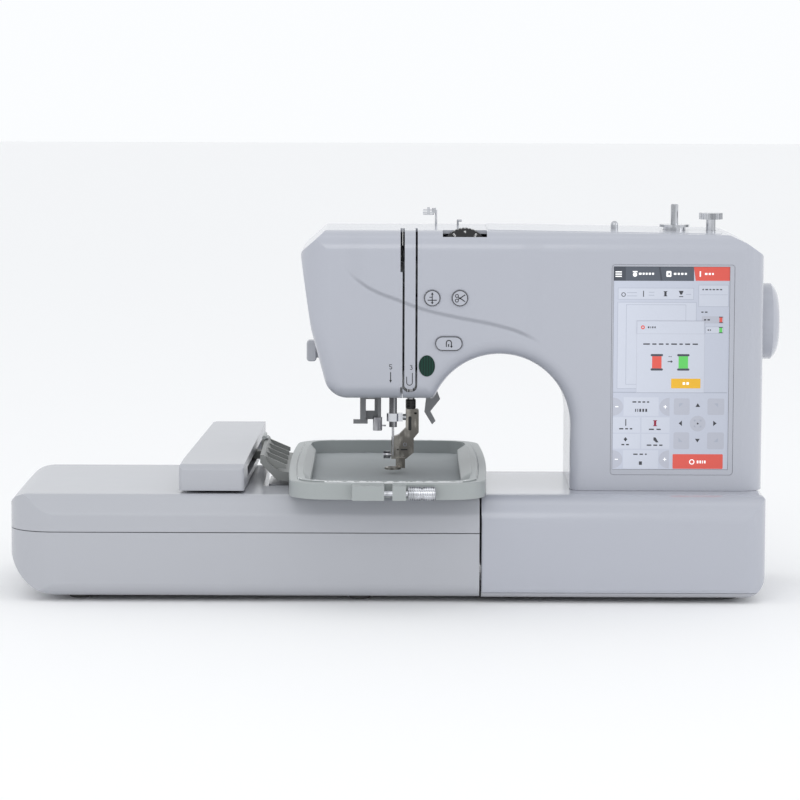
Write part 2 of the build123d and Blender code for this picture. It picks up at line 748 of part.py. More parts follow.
with BuildPart() as needle_clamp:
    rod(bar_radius + 2, (needle_x, needle_y, clamp_low), (needle_x, needle_y, clamp_high))
    block((needle_x, needle_y - 3, clamp_low), (needle_x + 7.4, needle_y + 3, clamp_high))
    rod(bar_radius, (needle_x, needle_y, 100), (needle_x, needle_y, 140), Mode.SUBTRACT)
    rod(1.5, (needle_x + 2, needle_y, 128.7), (needle_x + 20, needle_y, 128.7), Mode.SUBTRACT)
    # its screw, a solid of its own
    rod(1.45, (needle_x + bar_radius + 0.1, needle_y, 128.7), (needle_x + 9, needle_y, 128.7))
    rod(2.4, (needle_x + 7.5, needle_y, 128.7), (needle_x + 10, needle_y, 128.7))
save(needle_clamp, "needle_clamp")

with BuildPart() as needle:
    rod(0.9, (needle_x, needle_y, 112), (needle_x, needle_y, clamp_low + 6))
    rod(0.5, (needle_x, needle_y, needle_tip + 3), (needle_x, needle_y, 113))
    with Locations(Location((needle_x, needle_y, needle_tip + 1.5))):
        Cone(bottom_radius=0.05, top_radius=0.5, height=3)
save(needle, "needle")

foot_low = 95.5
foot_high = 134.0
foot_y = -17.4
foot_thick = 7.0
foot_left = -6.8
foot_screw_z = 98.4
leg_front = -19.2             # the leg stays behind the needle clamp's path
ring_low = 88.6
presser_bar_top = 179.0       # under the crank pin's circle

with BuildPart() as presser_bar:
    rod(bar_radius, (presser_x, presser_y, foot_high - 12), (presser_x, presser_y, presser_bar_top))
save(presser_bar, "presser_bar")

with BuildPart() as presser_foot:
    with BuildSketch(Plane.XZ.offset(-foot_y)) as foot_side:
        with BuildLine():
            Polyline(
                (4.1, foot_high),
                (14.2, foot_high),
                (14.2, 116),
                (10.4, 111.5),
                (10.4, 100.5),
                (4.5, foot_low),
                (foot_left, foot_low),
                (foot_left, 112.5),
                (-1.5, 113.8),
                (4.1, 119.5),
                close=True,
            )
        make_face()
        fillet(near(foot_side, 14.2, foot_high), radius=1.5)
        fillet(near(foot_side, 14.2, 116), radius=2)
        fillet(near(foot_side, -1.5, 113.8), radius=4)
    extrude(amount=-foot_thick)
    rod(bar_radius, (presser_x, presser_y, foot_high - 12), (presser_x, presser_y, 140), Mode.SUBTRACT)
    block((-3.4, leg_front, ring_low), (3.8, foot_y + 3, foot_low + 1))
    rod(6.35, (needle_x, needle_y, ring_low), (needle_x, needle_y, ring_low + 1.5))
    rod(4.2, (needle_x, needle_y, 80), (needle_x, needle_y, foot_low - 0.5), Mode.SUBTRACT)
save(presser_foot, "presser_foot")

with BuildPart() as presser_foot_screw:
    rod(2.9, (foot_left - 6, foot_y + 3.5, foot_screw_z), (foot_left - 0.8, foot_y + 3.5, foot_screw_z))
    rod(1.6, (foot_left - 1.2, foot_y + 3.5, foot_screw_z), (foot_left, foot_y + 3.5, foot_screw_z))
save(presser_foot_screw, "presser_foot_screw")

with BuildPart() as presser_lifter:
    with BuildSketch(Plane.XZ.offset(18.5)):
        with Locations((lift_x, lift_z)):
            Circle(5)
        with BuildLine():
            Polyline(
                (lift_x - 4, lift_z),
                (lift_x + 4.5, lift_z + 2),
                (lift_x + 6.5, lift_z - 3),
                (lift_x - 1, lift_z - 12.5),
                (lift_x + 3, lift_z - 20),
                (lift_x + 0.4, lift_z - 22.6),
                (lift_x - 5.5, lift_z - 13),
                close=True,
            )
        make_face()
    extrude(amount=-7)
    rod(2.5 + run_gap, (lift_x, -30, lift_z), (lift_x, 0, lift_z), Mode.SUBTRACT)
save(presser_lifter, "presser_lifter")

threader_x = -16.2
with BuildPart() as threader_bracket:
    block((-30.8, -26, 126.5), (-26.4, -18, 172))
    block((-27.6, -20.6, 126.5), (-16.8, -18, 133))
    block((-27.6, -20.6, 142), (-16.8, -18, 172))
    block((-19.8, -20.6, 126.5), (-16.8, -18, 172))
    block((-36.0, -24, 123.4), (-25.0, -21, 126.6))
    rod(1.5, (threader_x, -24.5, 124), (threader_x, -24.5, 176))
    block((-30.0, -26, 172), (threader_x + 2.6, -18, 177))
save(threader_bracket, "threader_bracket")

with BuildPart() as threader_hook:
    rod(3.6, (threader_x - 1.2, -24.5, 118.4), (threader_x - 1.2, -24.5, 128.6))
    rod(1.5, (threader_x, -24.5, 124), (threader_x, -24.5, 140), Mode.SUBTRACT)
    block((threader_x, -25.1, 121.5), (needle_x - 5.4, -23.9, 122.7))
save(threader_hook, "threader_hook")

with BuildPart() as threader_lever:
    block((-66, -23, 174), (-30.2, -18, 180))
    with BuildSketch(Plane.XZ.offset(26)) as knob:
        with Locations((-68.0, 179.4)):
            RectangleRounded(7.5, 16.0, 2.4)
    extrude(amount=-11)
    chamfer(threader_lever.faces().sort_by(Axis.X)[0].edges(), length=0.8)
save(threader_lever, "threader_lever")

with BuildPart() as take_up_lever:
    with BuildSketch(Plane.YZ.offset(3.0)):
        with Locations((take_up_y, take_up_z)):
            Circle(5)
        with BuildLine():
            Polyline(
                (take_up_y, take_up_z - 4),
                (take_up_y - 30, take_up_z + 9),
                (take_up_y - 31, take_up_z + 13),
                (take_up_y - 2, take_up_z + 4),
                close=True,
            )
        make_face()
        with Locations((take_up_y - 28, take_up_z + 9.8)):
            Circle(1.0, mode=Mode.SUBTRACT)
    extrude(amount=3.0)
    rod(2.5 + run_gap, (0, take_up_y, take_up_z), (10, take_up_y, take_up_z), Mode.SUBTRACT)
save(take_up_lever, "take_up_lever")

# ---- thread path on the arm's top ----
with BuildPart() as tension_dial:
    rod(dial_radius, (dial_x, dial_front, dial_z), (dial_x, dial_back, dial_z))
    with BuildSketch(Plane.XZ.offset(-dial_front)):
        with Locations((dial_x, dial_z)):
            with PolarLocations(dial_radius, 40):
                Circle(0.5)
    extrude(amount=-(dial_back - dial_front), mode=Mode.SUBTRACT)
    rod(3 + run_gap, (dial_x, dial_front - 1, dial_z), (dial_x, dial_back + 1, dial_z), Mode.SUBTRACT)
save(tension_dial, "tension_dial")

guide_x = 26.8
guide_y = -16.5
with BuildPart() as thread_guides:
    rod(0.9, (guide_x, guide_y, arm_top), (guide_x, guide_y, 287))
    block((16.6, guide_y - 0.6, 284.6), (guide_x + 0.9, guide_y + 0.6, 285.8))
    rod(4.2, (21.0, guide_y, 286.6), (21.0, guide_y, 287.6))
    rod(4.2, (21.0, guide_y, 283.4), (21.0, guide_y, 284.4))
    rod(1.0, (21.0, guide_y, 283.4), (21.0, guide_y, 289.2))
    rod(1.6, (25.2, guide_y, 285), (25.2, guide_y, 288.6))
    # small thread hook beside it
    rod(0.8, (43.4, guide_y, arm_top), (43.4, guide_y, 279.6))
    rod(0.8, (42.6, guide_y, 279), (46.4, guide_y, 279))
    # spool guide nub
    nub_low = arm_top_at(nub_x) - lid_depth
    nub_high = nub_low + 4.6
    rod(nub_radius - 0.05, (nub_x, winder_y, nub_low + 0.1), (nub_x, winder_y, nub_high))
    with Locations((nub_x, winder_y, nub_high)):
        Sphere(nub_radius - 0.05)
save(thread_guides, "thread_guides")

winder_seat_low = 271.4
winder_disc_low = 275.4
winder_disc_high = 277.2
with BuildPart() as winder_spindle:
    rod(spindle_radius, (winder_x, winder_y, 251), (winder_x, winder_y, spindle_top))
    chamfer(winder_spindle.faces().sort_by(Axis.Z)[-1].edges(), length=0.6)
    rod(8.6, (winder_x, winder_y, winder_seat_low), (winder_x, winder_y, winder_disc_low))
    rod(11.4, (winder_x, winder_y, winder_disc_low), (winder_x, winder_y, winder_disc_high))
save(winder_spindle, "winder_spindle")

stop_knob_low = 281.2
with BuildPart() as winder_stop:
    rod(3.6, (stop_x, winder_y, 266), (stop_x, winder_y, stop_knob_low + 1))
    with BuildSketch(Plane.XY.offset(stop_knob_low)):
        with Locations((stop_x, winder_y)):
            Circle(9)
            with PolarLocations(9, 28):
                Circle(0.55, mode=Mode.SUBTRACT)
    extrude(amount=4.8)
save(winder_stop, "winder_stop")

# ---- buttons, lens, display and electrics ----
inner_face = arm_front + wall


def push_button(sketch_shape, flange_shape, x, z):
    """Cap proud of the front face, flange behind the wall and a stem to its switch."""
    with BuildPart() as button:
        with BuildSketch(Plane.XZ.offset(-(arm_front - button_proud))):
            with Locations((x, z)):
                sketch_shape()
        extrude(amount=-(wall + button_proud + 0.5))
        with BuildSketch(Plane.XZ.offset(-(inner_face + 0.3))):
            with Locations((x, z)):
                flange_shape()
        extrude(amount=-1.2)
        rod(2.2, (x, inner_face + 1, z), (x, inner_face + 3.6, z))
    return button


def round_cap():
    """Outline of a round cap."""
    Circle(round_button_radius)


def round_flange():
    """Outline of a round cap's flange."""
    Circle(round_button_radius + 1.3)


def start_cap():
    """Outline of the start button's cap."""
    SlotOverall(start_button_width, start_button_height)


def start_flange():
    """Outline of the start button's flange."""
    SlotOverall(start_button_width + 2.6, start_button_height + 2.6)


needle_button = push_button(round_cap, round_flange, needle_button_x, round_button_z)
save(needle_button, "needle_button")
trim_button = push_button(round_cap, round_flange, trim_button_x, round_button_z)
save(trim_button, "trim_button")
start_button = push_button(start_cap, start_flange, start_button_x, start_button_z)
save(start_button, "start_button")

board_front = inner_face + 4.9
with BuildPart() as circuit_boards:
    block((14, board_front, 185), (58, board_front + 1.6, 233))
    for boss_x, boss_z in ((17, 207), (55, 207)):
        rod(2.0, (boss_x, inner_face, boss_z), (boss_x, board_front + 0.5, boss_z))
    # main board behind the display
    block((155, -72, 96), (247, -70.4, 196))
    for boss_x in (160, 242):
        for boss_z in (101, 191):
            rod(2.5, (boss_x, arm_front + screen_recess + 6.4, boss_z), (boss_x, -71, boss_z))
    block((185, -70.6, 120), (205, -67, 140))
    block((215, -70.6, 150), (235, -66, 160))
save(circuit_boards, "circuit_boards")

with BuildPart() as lamp_lens:
    with BuildSketch(Plane.XZ.offset(-(arm_front - 0.4))):
        with Locations((lens_x, lens_z)):
            Ellipse(lens_width / 2 - 0.1, lens_height / 2 - 0.1)
    extrude(amount=-4.2)
save(lamp_lens, "lamp_lens")

screen_middle_x = (screen_left + screen_right) / 2
screen_middle_z = (screen_low + screen_high) / 2
screen_width = screen_right - screen_left
screen_height = screen_high - screen_low
with BuildPart() as screen_bezel:
    with BuildSketch(Plane.XZ.offset(-(arm_front + 0.35))):
        with Locations((screen_middle_x + 1.1, screen_middle_z - 1.3)):
            RectangleRounded(screen_width + 4.6, screen_height + 5.2, 2.3)
        with Locations((screen_middle_x, screen_middle_z)):
            Rectangle(screen_width, screen_height, mode=Mode.SUBTRACT)
    extrude(amount=-3.9)
save(screen_bezel, "screen_bezel")

with BuildPart() as display_panel:
    with BuildSketch(Plane.XZ.offset(-(arm_front + screen_recess))):
        with Locations((screen_middle_x, screen_middle_z)):
            Rectangle(screen_width - 0.2, screen_height - 0.2)
    extrude(amount=-3.4)
    with BuildSketch(Plane.XZ.offset(-(arm_front + screen_recess + 3.4))):
        with Locations((screen_middle_x, screen_middle_z)):
            Rectangle(screen_width + 12, screen_height + 12)
    extrude(amount=-3.0)
save(display_panel, "display_panel")


with BuildPart() as power_inlet:
    block((base_right - 20, switch_y - 9, side_port_z - 13), (base_right + 0.6, inlet_y + 14, side_port_z + 13))
    block((base_right - 14, inlet_y - 9, side_port_z - 6), (base_right + 2, inlet_y + 9, side_port_z + 6),
          Mode.SUBTRACT)
    for pin_y in (-4, 4):
        rod(1.2, (base_right - 15, inlet_y + pin_y, side_port_z), (base_right - 4, inlet_y + pin_y, side_port_z))
    block((base_right - 12, switch_y - 6, side_port_z - 11), (base_right + 4, switch_y + 6, side_port_z + 11),
          Mode.SUBTRACT)
    rod(1.5, (base_right - 3.5, switch_y - 7, side_port_z), (base_right - 3.5, switch_y + 7, side_port_z))
save(power_inlet, "power_inlet")

with BuildPart() as power_switch:
    with BuildSketch(Plane.XZ.offset(-(switch_y - 5.5))):
        with BuildLine():
            Polyline(
                (base_right - 7, side_port_z - 8),
                (base_right + 2.2, side_port_z - 9),
                (base_right + 0.4, side_port_z),
                (base_right + 0.8, side_port_z + 9),
                (base_right - 7, side_port_z + 8),
                close=True,
            )
        make_face()
    extrude(amount=-11)
    rod(1.5 + run_gap, (base_right - 3.5, switch_y - 20, side_port_z), (base_right - 3.5, switch_y + 20, side_port_z),
        Mode.SUBTRACT)
save(power_switch, "power_switch")


# ---- embroidery unit ----
rod_x_start = -247.0
rod_x_end = -107.5
guide_rod_radius = 4.0
guide_rod_z = 40.0
guide_rods_y = (36.0, 56.0)
slide_block_left = -190.0
slide_block_right = -170.0
carriage_travel_left = 40.0
carriage_travel_right = 54.0
tongue_low = 36.0
tongue_high = 44.0
rear_plate_y = unit_back + 1.4

with BuildPart() as unit_upper_shell:
    add(unit_outer)
    add(unit_inner, mode=Mode.SUBTRACT)
    block((-400, -300, 0), (400, 300, unit_seam_z + seam_gap), Mode.SUBTRACT)
save(unit_upper_shell, "unit_upper_shell")

with BuildPart() as unit_lower_shell:
    add(unit_outer)
    add(unit_inner, mode=Mode.SUBTRACT)
    block((-400, -300, unit_seam_z - seam_gap), (400, 300, 400), Mode.SUBTRACT)
    block(
        (slide_block_left - carriage_travel_left - 2, unit_back - 10, tongue_low - 1.5),
        (slide_block_right + carriage_travel_right + 2, unit_back + 10, tongue_high + 1.5),
        Mode.SUBTRACT,
    )
    # ribs that carry the guide rods
    for rib_x in (-243.5, -112):
        block((rib_x - 2, guide_rods_y[0] - 8, foot_height + 1), (rib_x + 2, guide_rods_y[1] + 8, 50))
    for rod_y in guide_rods_y:
        rod(guide_rod_radius + 0.02, (rod_x_start, rod_y, guide_rod_z), (rod_x_end, rod_y, guide_rod_z),
            Mode.SUBTRACT)
save(unit_lower_shell, "unit_lower_shell")

with BuildPart() as unit_guide_rods:
    for rod_y in guide_rods_y:
        rod(guide_rod_radius, (rod_x_start, rod_y, guide_rod_z), (rod_x_end, rod_y, guide_rod_z))
save(unit_guide_rods, "unit_guide_rods")

with BuildPart() as unit_motor:
    block((-215, -60, foot_height + wall), (-175, -20, 44))
    rod(2.5, (-195, -40, 40), (-195, -40, 52))
    rod(7, (-195, -40, 45), (-195, -40, 51))
save(unit_motor, "unit_motor")

# ---- carriage ----
carriage_wall = 2.4
hoop_travel_front = 104.0
hoop_travel_back = 95.0
holder_y_low = 42.0
holder_y_high = 58.0
rail_x = -136.0
rail_z = 93.0
rail_radius = 3.0

with BuildPart() as carriage_shape:
    with BuildSketch(Plane.XY) as carriage_plan:
        with BuildLine():
            Polyline(
                (carriage_left, carriage_front),
                (carriage_right, carriage_front),
                (carriage_right + carriage_taper_right, carriage_back),
                (carriage_left + carriage_taper_left, carriage_back),
                close=True,
            )
        make_face()
        fillet(near(carriage_plan, carriage_left, carriage_front), radius=3)
        fillet(near(carriage_plan, carriage_right, carriage_front), radius=3)
        fillet(near(carriage_plan, carriage_left + carriage_taper_left, carriage_back), radius=14)
        fillet(near(carriage_plan, carriage_right + carriage_taper_right, carriage_back), radius=6)
    extrude(amount=reach, both=True)
    with BuildSketch(Plane.YZ) as carriage_side:
        with BuildLine():
            Polyline(
                (carriage_front, carriage_low),
                (carriage_front, carriage_high - 5.5),
                (carriage_front + 5, carriage_high - 2.6),
                (carriage_back, carriage_high),
                (carriage_back, carriage_low),
                close=True,
            )
        make_face()
        fillet(near(carriage_side, carriage_front, carriage_high - 5.5), radius=2.5)
        fillet(near(carriage_side, carriage_back, carriage_high), radius=6)
    extrude(amount=reach, both=True, mode=Mode.INTERSECT)
    with BuildSketch(Plane.XZ) as carriage_end:
        with BuildLine():
            Polyline(
                (carriage_left - 1, carriage_low),
                (carriage_left - 1, carriage_high - 5),
                (carriage_left + 5, carriage_high + 1),
                (carriage_right + carriage_taper_right + 1, carriage_high + 1),
                (carriage_right + carriage_taper_right + 1, carriage_low),
                close=True,
            )
        make_face()
        fillet(near(carriage_end, carriage_left - 1, carriage_high - 5), radius=6)
    extrude(amount=reach, both=True, mode=Mode.INTERSECT)

with BuildPart() as carriage_housing:
    add(carriage_shape.part)
    block(
        (carriage_left + carriage_taper_left + carriage_wall, carriage_front + carriage_wall, 0),
        (carriage_right - carriage_wall, carriage_back - 6, carriage_high - 5.2),
        Mode.SUBTRACT,
    )
    # slot that the hoop holder runs in
    block(
        (carriage_right - 8, holder_y_low - hoop_travel_front - 3, carriage_low + 5),
        (carriage_right + 10, holder_y_high + hoop_travel_back + 3, carriage_low + 13),
        Mode.SUBTRACT,
    )
save(carriage_housing, "carriage_housing")

with BuildPart() as carriage_bracket:
    block((carriage_left + carriage_taper_left + carriage_wall + 0.4, carriage_front + 4, carriage_low + 0.4),
          (carriage_right - carriage_wall - 0.4, carriage_back - 8, carriage_low + 2.2))
    for end_y in (carriage_front + 4, carriage_back - 12):
        block((rail_x - 5, end_y, carriage_low + 1), (rail_x + 5, end_y + 4, rail_z + 5))
    rod(rail_radius + 0.02, (rail_x, carriage_front, rail_z), (rail_x, carriage_back, rail_z), Mode.SUBTRACT)
    # plate behind the unit, and the tongue that goes in through the unit's rear slot
    block((slide_block_left, rear_plate_y, tongue_low), (carriage_right - 6, rear_plate_y + 4, bed_z - 8))
    block((carriage_left + carriage_taper_left + carriage_wall + 0.4, rear_plate_y, tongue_high),
          (carriage_right - 6, rear_plate_y + 4, carriage_low + 1))
    block((slide_block_left, guide_rods_y[1] + 1, tongue_low), (slide_block_right, rear_plate_y + 1, tongue_high))
    block((slide_block_left, guide_rods_y[0] - 7, guide_rod_z - 7),
          (slide_block_right, guide_rods_y[1] + 7, guide_rod_z + 7))
    for rod_y in guide_rods_y:
        rod(guide_rod_radius + run_gap, (slide_block_left - 1, rod_y, guide_rod_z),
            (slide_block_right + 1, rod_y, guide_rod_z), Mode.SUBTRACT)
save(carriage_bracket, "carriage_bracket")

with BuildPart() as carriage_rail:
    rod(rail_radius, (rail_x, carriage_front + 4, rail_z), (rail_x, carriage_back - 8, rail_z))
save(carriage_rail, "carriage_rail")


# ---- hoop ----
def hoop_outline(inset, low, high, corner):
    """Bowed rounded rectangle of the hoop, taken in and extruded between two heights."""
    with BuildPart() as ring:
        half_x = hoop_half_width - inset
        half_y = hoop_half_length - inset
        bow = 4.0
        with BuildSketch(Plane.XY.offset(low)) as shape:
            with BuildLine():
                right_front = (hoop_x + half_x - bow, hoop_y - half_y + bow)
                right_back = (hoop_x + half_x - bow, hoop_y + half_y - bow)
                left_back = (hoop_x - half_x + bow, hoop_y + half_y - bow)
                left_front = (hoop_x - half_x + bow, hoop_y - half_y + bow)
                ThreePointArc(right_front, (hoop_x + half_x, hoop_y), right_back)
                ThreePointArc(right_back, (hoop_x, hoop_y + half_y), left_back)
                ThreePointArc(left_back, (hoop_x - half_x, hoop_y), left_front)
                ThreePointArc(left_front, (hoop_x, hoop_y - half_y), right_front)
            make_face()
            fillet(shape.vertices(), radius=corner)
        extrude(amount=high - low)
    return ring.part


inner_ring_inset = hoop_wall + hoop_seat_gap
field_inset = inner_ring_inset + hoop_inner_wall
screw_z = 87.8
screw_y = hoop_y - hoop_half_length - 4.9
clamp_front = screw_y - 5.5

with BuildPart() as hoop_outer:
    add(hoop_outline(0, hoop_low, hoop_high, 26))
    add(hoop_outline(hoop_wall, hoop_low - 1, hoop_high + 1, 26 - hoop_wall), mode=Mode.SUBTRACT)
    chamfer(hoop_outer.faces().sort_by(Axis.Z)[-1].edges(), length=0.6)
    # clamp blocks at the front, either side of the split
    block((-35.0, clamp_front, 83.2), (-11.6, hoop_y - hoop_half_length + 2.0, 93.9))
    block((-5.6, clamp_front, 83.2), (4.4, hoop_y - hoop_half_length + 2.0, 93.9))
    block((-11.6, clamp_front - 5, 80), (-5.6, hoop_y - hoop_half_length + hoop_wall + 2, 100), Mode.SUBTRACT)
    rod(2.05, (-30, screw_y, screw_z), (30, screw_y, screw_z), Mode.SUBTRACT)
save(hoop_outer, "hoop_outer")

with BuildPart() as hoop_inner:
    add(hoop_outline(inner_ring_inset, hoop_low + 0.8, hoop_high + 0.8, 26 - inner_ring_inset))
    add(hoop_outline(field_inset, hoop_low - 1, hoop_high + 2, 26 - field_inset), mode=Mode.SUBTRACT)
save(hoop_inner, "hoop_inner")

with BuildPart() as hooped_fabric:
    add(hoop_outline(field_inset + 0.3, fabric_z, fabric_z + fabric_thick, 26 - field_inset - 0.3))
save(hooped_fabric, "hooped_fabric")

with BuildPart() as hoop_screw:
    rod(2.0, (-29, screw_y, screw_z), (8, screw_y, screw_z))
    with BuildSketch(Plane.YZ.offset(5.6)):
        with Locations((screw_y, screw_z)):
            Circle(4.6)
            with PolarLocations(4.6, 24):
                Circle(0.3, mode=Mode.SUBTRACT)
    extrude(amount=20.4)
    with BuildSketch(Plane.YZ.offset(15.2)):
        with Locations((screw_y, screw_z)):
            Circle(10)
            Circle(3.9, mode=Mode.SUBTRACT)
    extrude(amount=1.2, mode=Mode.SUBTRACT)
save(hoop_screw, "hoop_screw")

bracket_back = 63.0
bracket_front = -61.0
bracket_left = -106.0
with BuildPart() as hoop_bracket:
    with BuildSketch(Plane.XZ.offset(-bracket_back)):
        with BuildLine():
            top_start = (bracket_left, 103.5)
            top_end = (bracket_left + 3.0, 103.5)
            Line((bracket_left, 97.5), top_start)
            Line(top_start, top_end)
            ThreePointArc(top_end, (-96.5, 94.6), (-76.0, 92.2))
            Line((-76.0, 92.2), (-76.0, 84.0))
            Line((-76.0, 84.0), (-93.0, 84.0))
            Line((-93.0, 84.0), (bracket_left, 97.5))
        make_face()
    extrude(amount=bracket_back - bracket_front)
    add(hoop_outline(-0.2, hoop_low - 5, hoop_high + 20, 26), mode=Mode.SUBTRACT)
    # ribs on the hollow top
    for step in range(5):
        rib_y = bracket_front + 6 + step * (bracket_back - bracket_front - 12) / 4
        with BuildSketch(Plane.XZ.offset(-(rib_y + 1))):
            with BuildLine():
                Polyline(
                    (bracket_left + 2.5, 102.6),
                    (-86.6, 95.4),
                    (-86.6, 92.5),
                    (bracket_left + 2.5, 93.0),
                    close=True,
                )
            make_face()
        extrude(amount=2)
save(hoop_bracket, "hoop_bracket")

with BuildPart() as hoop_holder:
    # arm through the carriage's slot, and the runner on the carriage's rail
    block((carriage_right - 6, holder_y_low, carriage_low + 6), (bracket_left - 0.2, holder_y_high, carriage_low + 12))
    block((rail_x - 6, holder_y_low, rail_z - 5.4), (carriage_right - 3.6, holder_y_high, rail_z + 4.8))
    block((bracket_left - 2.6, holder_y_low - 8, carriage_low + 3), (bracket_left - 0.2, holder_y_high + 6, 103.6))
    rod(rail_radius + run_gap, (rail_x, 0, rail_z), (rail_x, 100, rail_z), Mode.SUBTRACT)
save(hoop_holder, "hoop_holder")

with BuildPart() as hoop_latch:
    block((bracket_left - 1.0, 38, 103.9), (bracket_left + 2.6, 56, 105.1))
    rod(1.6, (bracket_left - 0.6, 34, 105.6), (bracket_left - 0.6, 60, 105.6))
save(hoop_latch, "hoop_latch")

# ---- feet and screws ----
foot_places = (
    (-240, -92),
    (-30, -94),
    (-238, 40),
    (-124, 46),
    (84, -88),
    (246, -88),
    (84, 24),
    (246, 24),
)
with BuildPart() as feet:
    for foot_x, foot_y_place in foot_places:
        rod(foot_radius, (foot_x, foot_y_place, 0), (foot_x, foot_y_place, foot_height))
    fillet(feet.edges().group_by(Axis.Z)[0], radius=1.2)
save(feet, "feet")

rear_screw_places = ((66, 190), (66, 262), (150, 96), (262, 96), (258, 250))
with BuildPart() as case_screws:
    for screw_x, screw_height in rear_screw_places:
        rod(3.4, (screw_x, arm_back + 0.05, screw_height), (screw_x, arm_back + 2.0, screw_height))
save(case_screws, "case_screws")
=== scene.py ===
import bpy
import json
import math
import bmesh
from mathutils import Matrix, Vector

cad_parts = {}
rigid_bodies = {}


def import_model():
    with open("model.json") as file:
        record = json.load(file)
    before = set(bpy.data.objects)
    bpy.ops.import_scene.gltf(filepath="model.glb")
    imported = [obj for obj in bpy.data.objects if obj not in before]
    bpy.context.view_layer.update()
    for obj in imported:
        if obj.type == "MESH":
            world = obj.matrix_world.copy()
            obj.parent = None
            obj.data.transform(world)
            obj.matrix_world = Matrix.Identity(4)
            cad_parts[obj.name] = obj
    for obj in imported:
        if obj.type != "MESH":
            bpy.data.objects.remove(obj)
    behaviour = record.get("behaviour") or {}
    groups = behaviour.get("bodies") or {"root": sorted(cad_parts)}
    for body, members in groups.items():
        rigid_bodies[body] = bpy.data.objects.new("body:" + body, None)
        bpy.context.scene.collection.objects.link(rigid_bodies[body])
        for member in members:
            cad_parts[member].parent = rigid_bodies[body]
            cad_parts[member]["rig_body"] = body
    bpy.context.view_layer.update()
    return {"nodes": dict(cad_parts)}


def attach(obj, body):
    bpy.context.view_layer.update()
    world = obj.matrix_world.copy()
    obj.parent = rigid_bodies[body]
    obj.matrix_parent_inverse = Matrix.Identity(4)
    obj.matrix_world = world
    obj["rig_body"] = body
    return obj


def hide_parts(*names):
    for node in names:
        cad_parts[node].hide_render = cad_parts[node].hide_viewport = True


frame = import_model()
nodes = frame["nodes"]
print("frame loaded,", len(nodes), "nodes")
mm = 0.001

studio = {
    "floorColour": (0.955, 0.955, 0.96),
    "worldColour": (0.97, 0.985, 1.0),
    "worldStrength": 1.0,
    "overhead": 0.97,
    "topPower": 1.2,
    "frontPower": 8.5,
    "sidePower": 4.0,
}

# the machine's own middle lies this far from the place its measures are taken from
shift = 2.6

viewpoint = {
    "across": 1.3 * mm,          # the lens stands in front of this place along the machine
    "distance": 2771.5 * mm,     # from the frame's origin, towards the front
    "height": 431 * mm,
    "pitch": 6.01,               # degrees down
    "roll": -0.2,
    "lens": 162.3,
}


def deselectAll():
    bpy.ops.object.select_all(action="DESELECT")


def makeFloor():
    bpy.ops.mesh.primitive_plane_add(size=14, location=(0, 3, 0))
    floor = bpy.context.object
    floor.name = "floor"
    bpy.ops.object.transform_apply(location=True)
    mat = bpy.data.materials.new("paleFloor")
    mat.use_nodes = True
    shader = mat.node_tree.nodes["Principled BSDF"]
    noise = mat.node_tree.nodes.new("ShaderNodeTexNoise")
    noise.inputs["Scale"].default_value = 3
    ramp = mat.node_tree.nodes.new("ShaderNodeValToRGB")
    ramp.color_ramp.elements[0].color = (*[c * 0.99 for c in studio["floorColour"]], 1)
    ramp.color_ramp.elements[1].color = (*studio["floorColour"], 1)
    mat.node_tree.links.new(noise.outputs["Fac"], ramp.inputs["Fac"])
    mat.node_tree.links.new(ramp.outputs["Color"], shader.inputs["Base Color"])
    shader.inputs["Roughness"].default_value = 0.75
    floor.data.materials.append(mat)


def addAreaLight(name, place, aim, size, power, colour=(1, 1, 1)):
    lamp = bpy.data.lights.new(name, "AREA")
    lamp.shape = "RECTANGLE"
    lamp.size = size[0]
    lamp.size_y = size[1]
    lamp.energy = power
    lamp.color = colour
    holder = bpy.data.objects.new(name, lamp)
    holder.location = place
    holder.rotation_euler = (Vector(aim) - Vector(place)).to_track_quat("-Z", "Y").to_euler()
    bpy.context.scene.collection.objects.link(holder)


def lightStage():
    world = bpy.data.worlds.new("studio")
    bpy.context.scene.world = world
    world.use_nodes = True
    back = world.node_tree.nodes["Background"]
    back.inputs["Strength"].default_value = studio["worldStrength"]
    # white round the horizon, dimmer overhead
    coords = world.node_tree.nodes.new("ShaderNodeTexCoord")
    split = world.node_tree.nodes.new("ShaderNodeSeparateXYZ")
    ramp = world.node_tree.nodes.new("ShaderNodeValToRGB")
    ramp.color_ramp.elements[0].position = 0.14
    ramp.color_ramp.elements[0].color = (*studio["worldColour"], 1)
    ramp.color_ramp.elements[1].position = 0.6
    ramp.color_ramp.elements[1].color = (*[c * studio["overhead"] for c in studio["worldColour"]], 1)
    world.node_tree.links.new(coords.outputs["Generated"], split.inputs["Vector"])
    world.node_tree.links.new(split.outputs["Z"], ramp.inputs["Fac"])
    world.node_tree.links.new(ramp.outputs["Color"], back.inputs["Color"])
    addAreaLight("topBank", (0.0, -0.25, 1.9), (0, 0, 0.1), (2.2, 0.5), studio["topPower"])
    addAreaLight("frontBank", (-0.5, -2.6, 1.5), (0, 0, 0.15), (1.6, 1.2), studio["frontPower"])
    addAreaLight("sideBank", (2.3, -0.9, 0.9), (0.1, 0, 0.15), (0.7, 1.4), studio["sidePower"])
    bpy.context.scene.view_settings.view_transform = "Standard"


def placeCamera():
    lens = bpy.data.cameras.new("viewCamera")
    lens.lens = viewpoint["lens"]
    lens.sensor_width = 36
    lens.clip_start = 0.05
    lens.clip_end = 60
    camera = bpy.data.objects.new("viewCamera", lens)
    camera.location = (viewpoint["across"], -viewpoint["distance"], viewpoint["height"])
    camera.rotation_euler = (math.radians(90 - viewpoint["pitch"]), math.radians(viewpoint["roll"]), 0)
    bpy.context.scene.collection.objects.link(camera)
    bpy.context.scene.camera = camera


makeFloor()
lightStage()
placeCamera()
print("stage set")

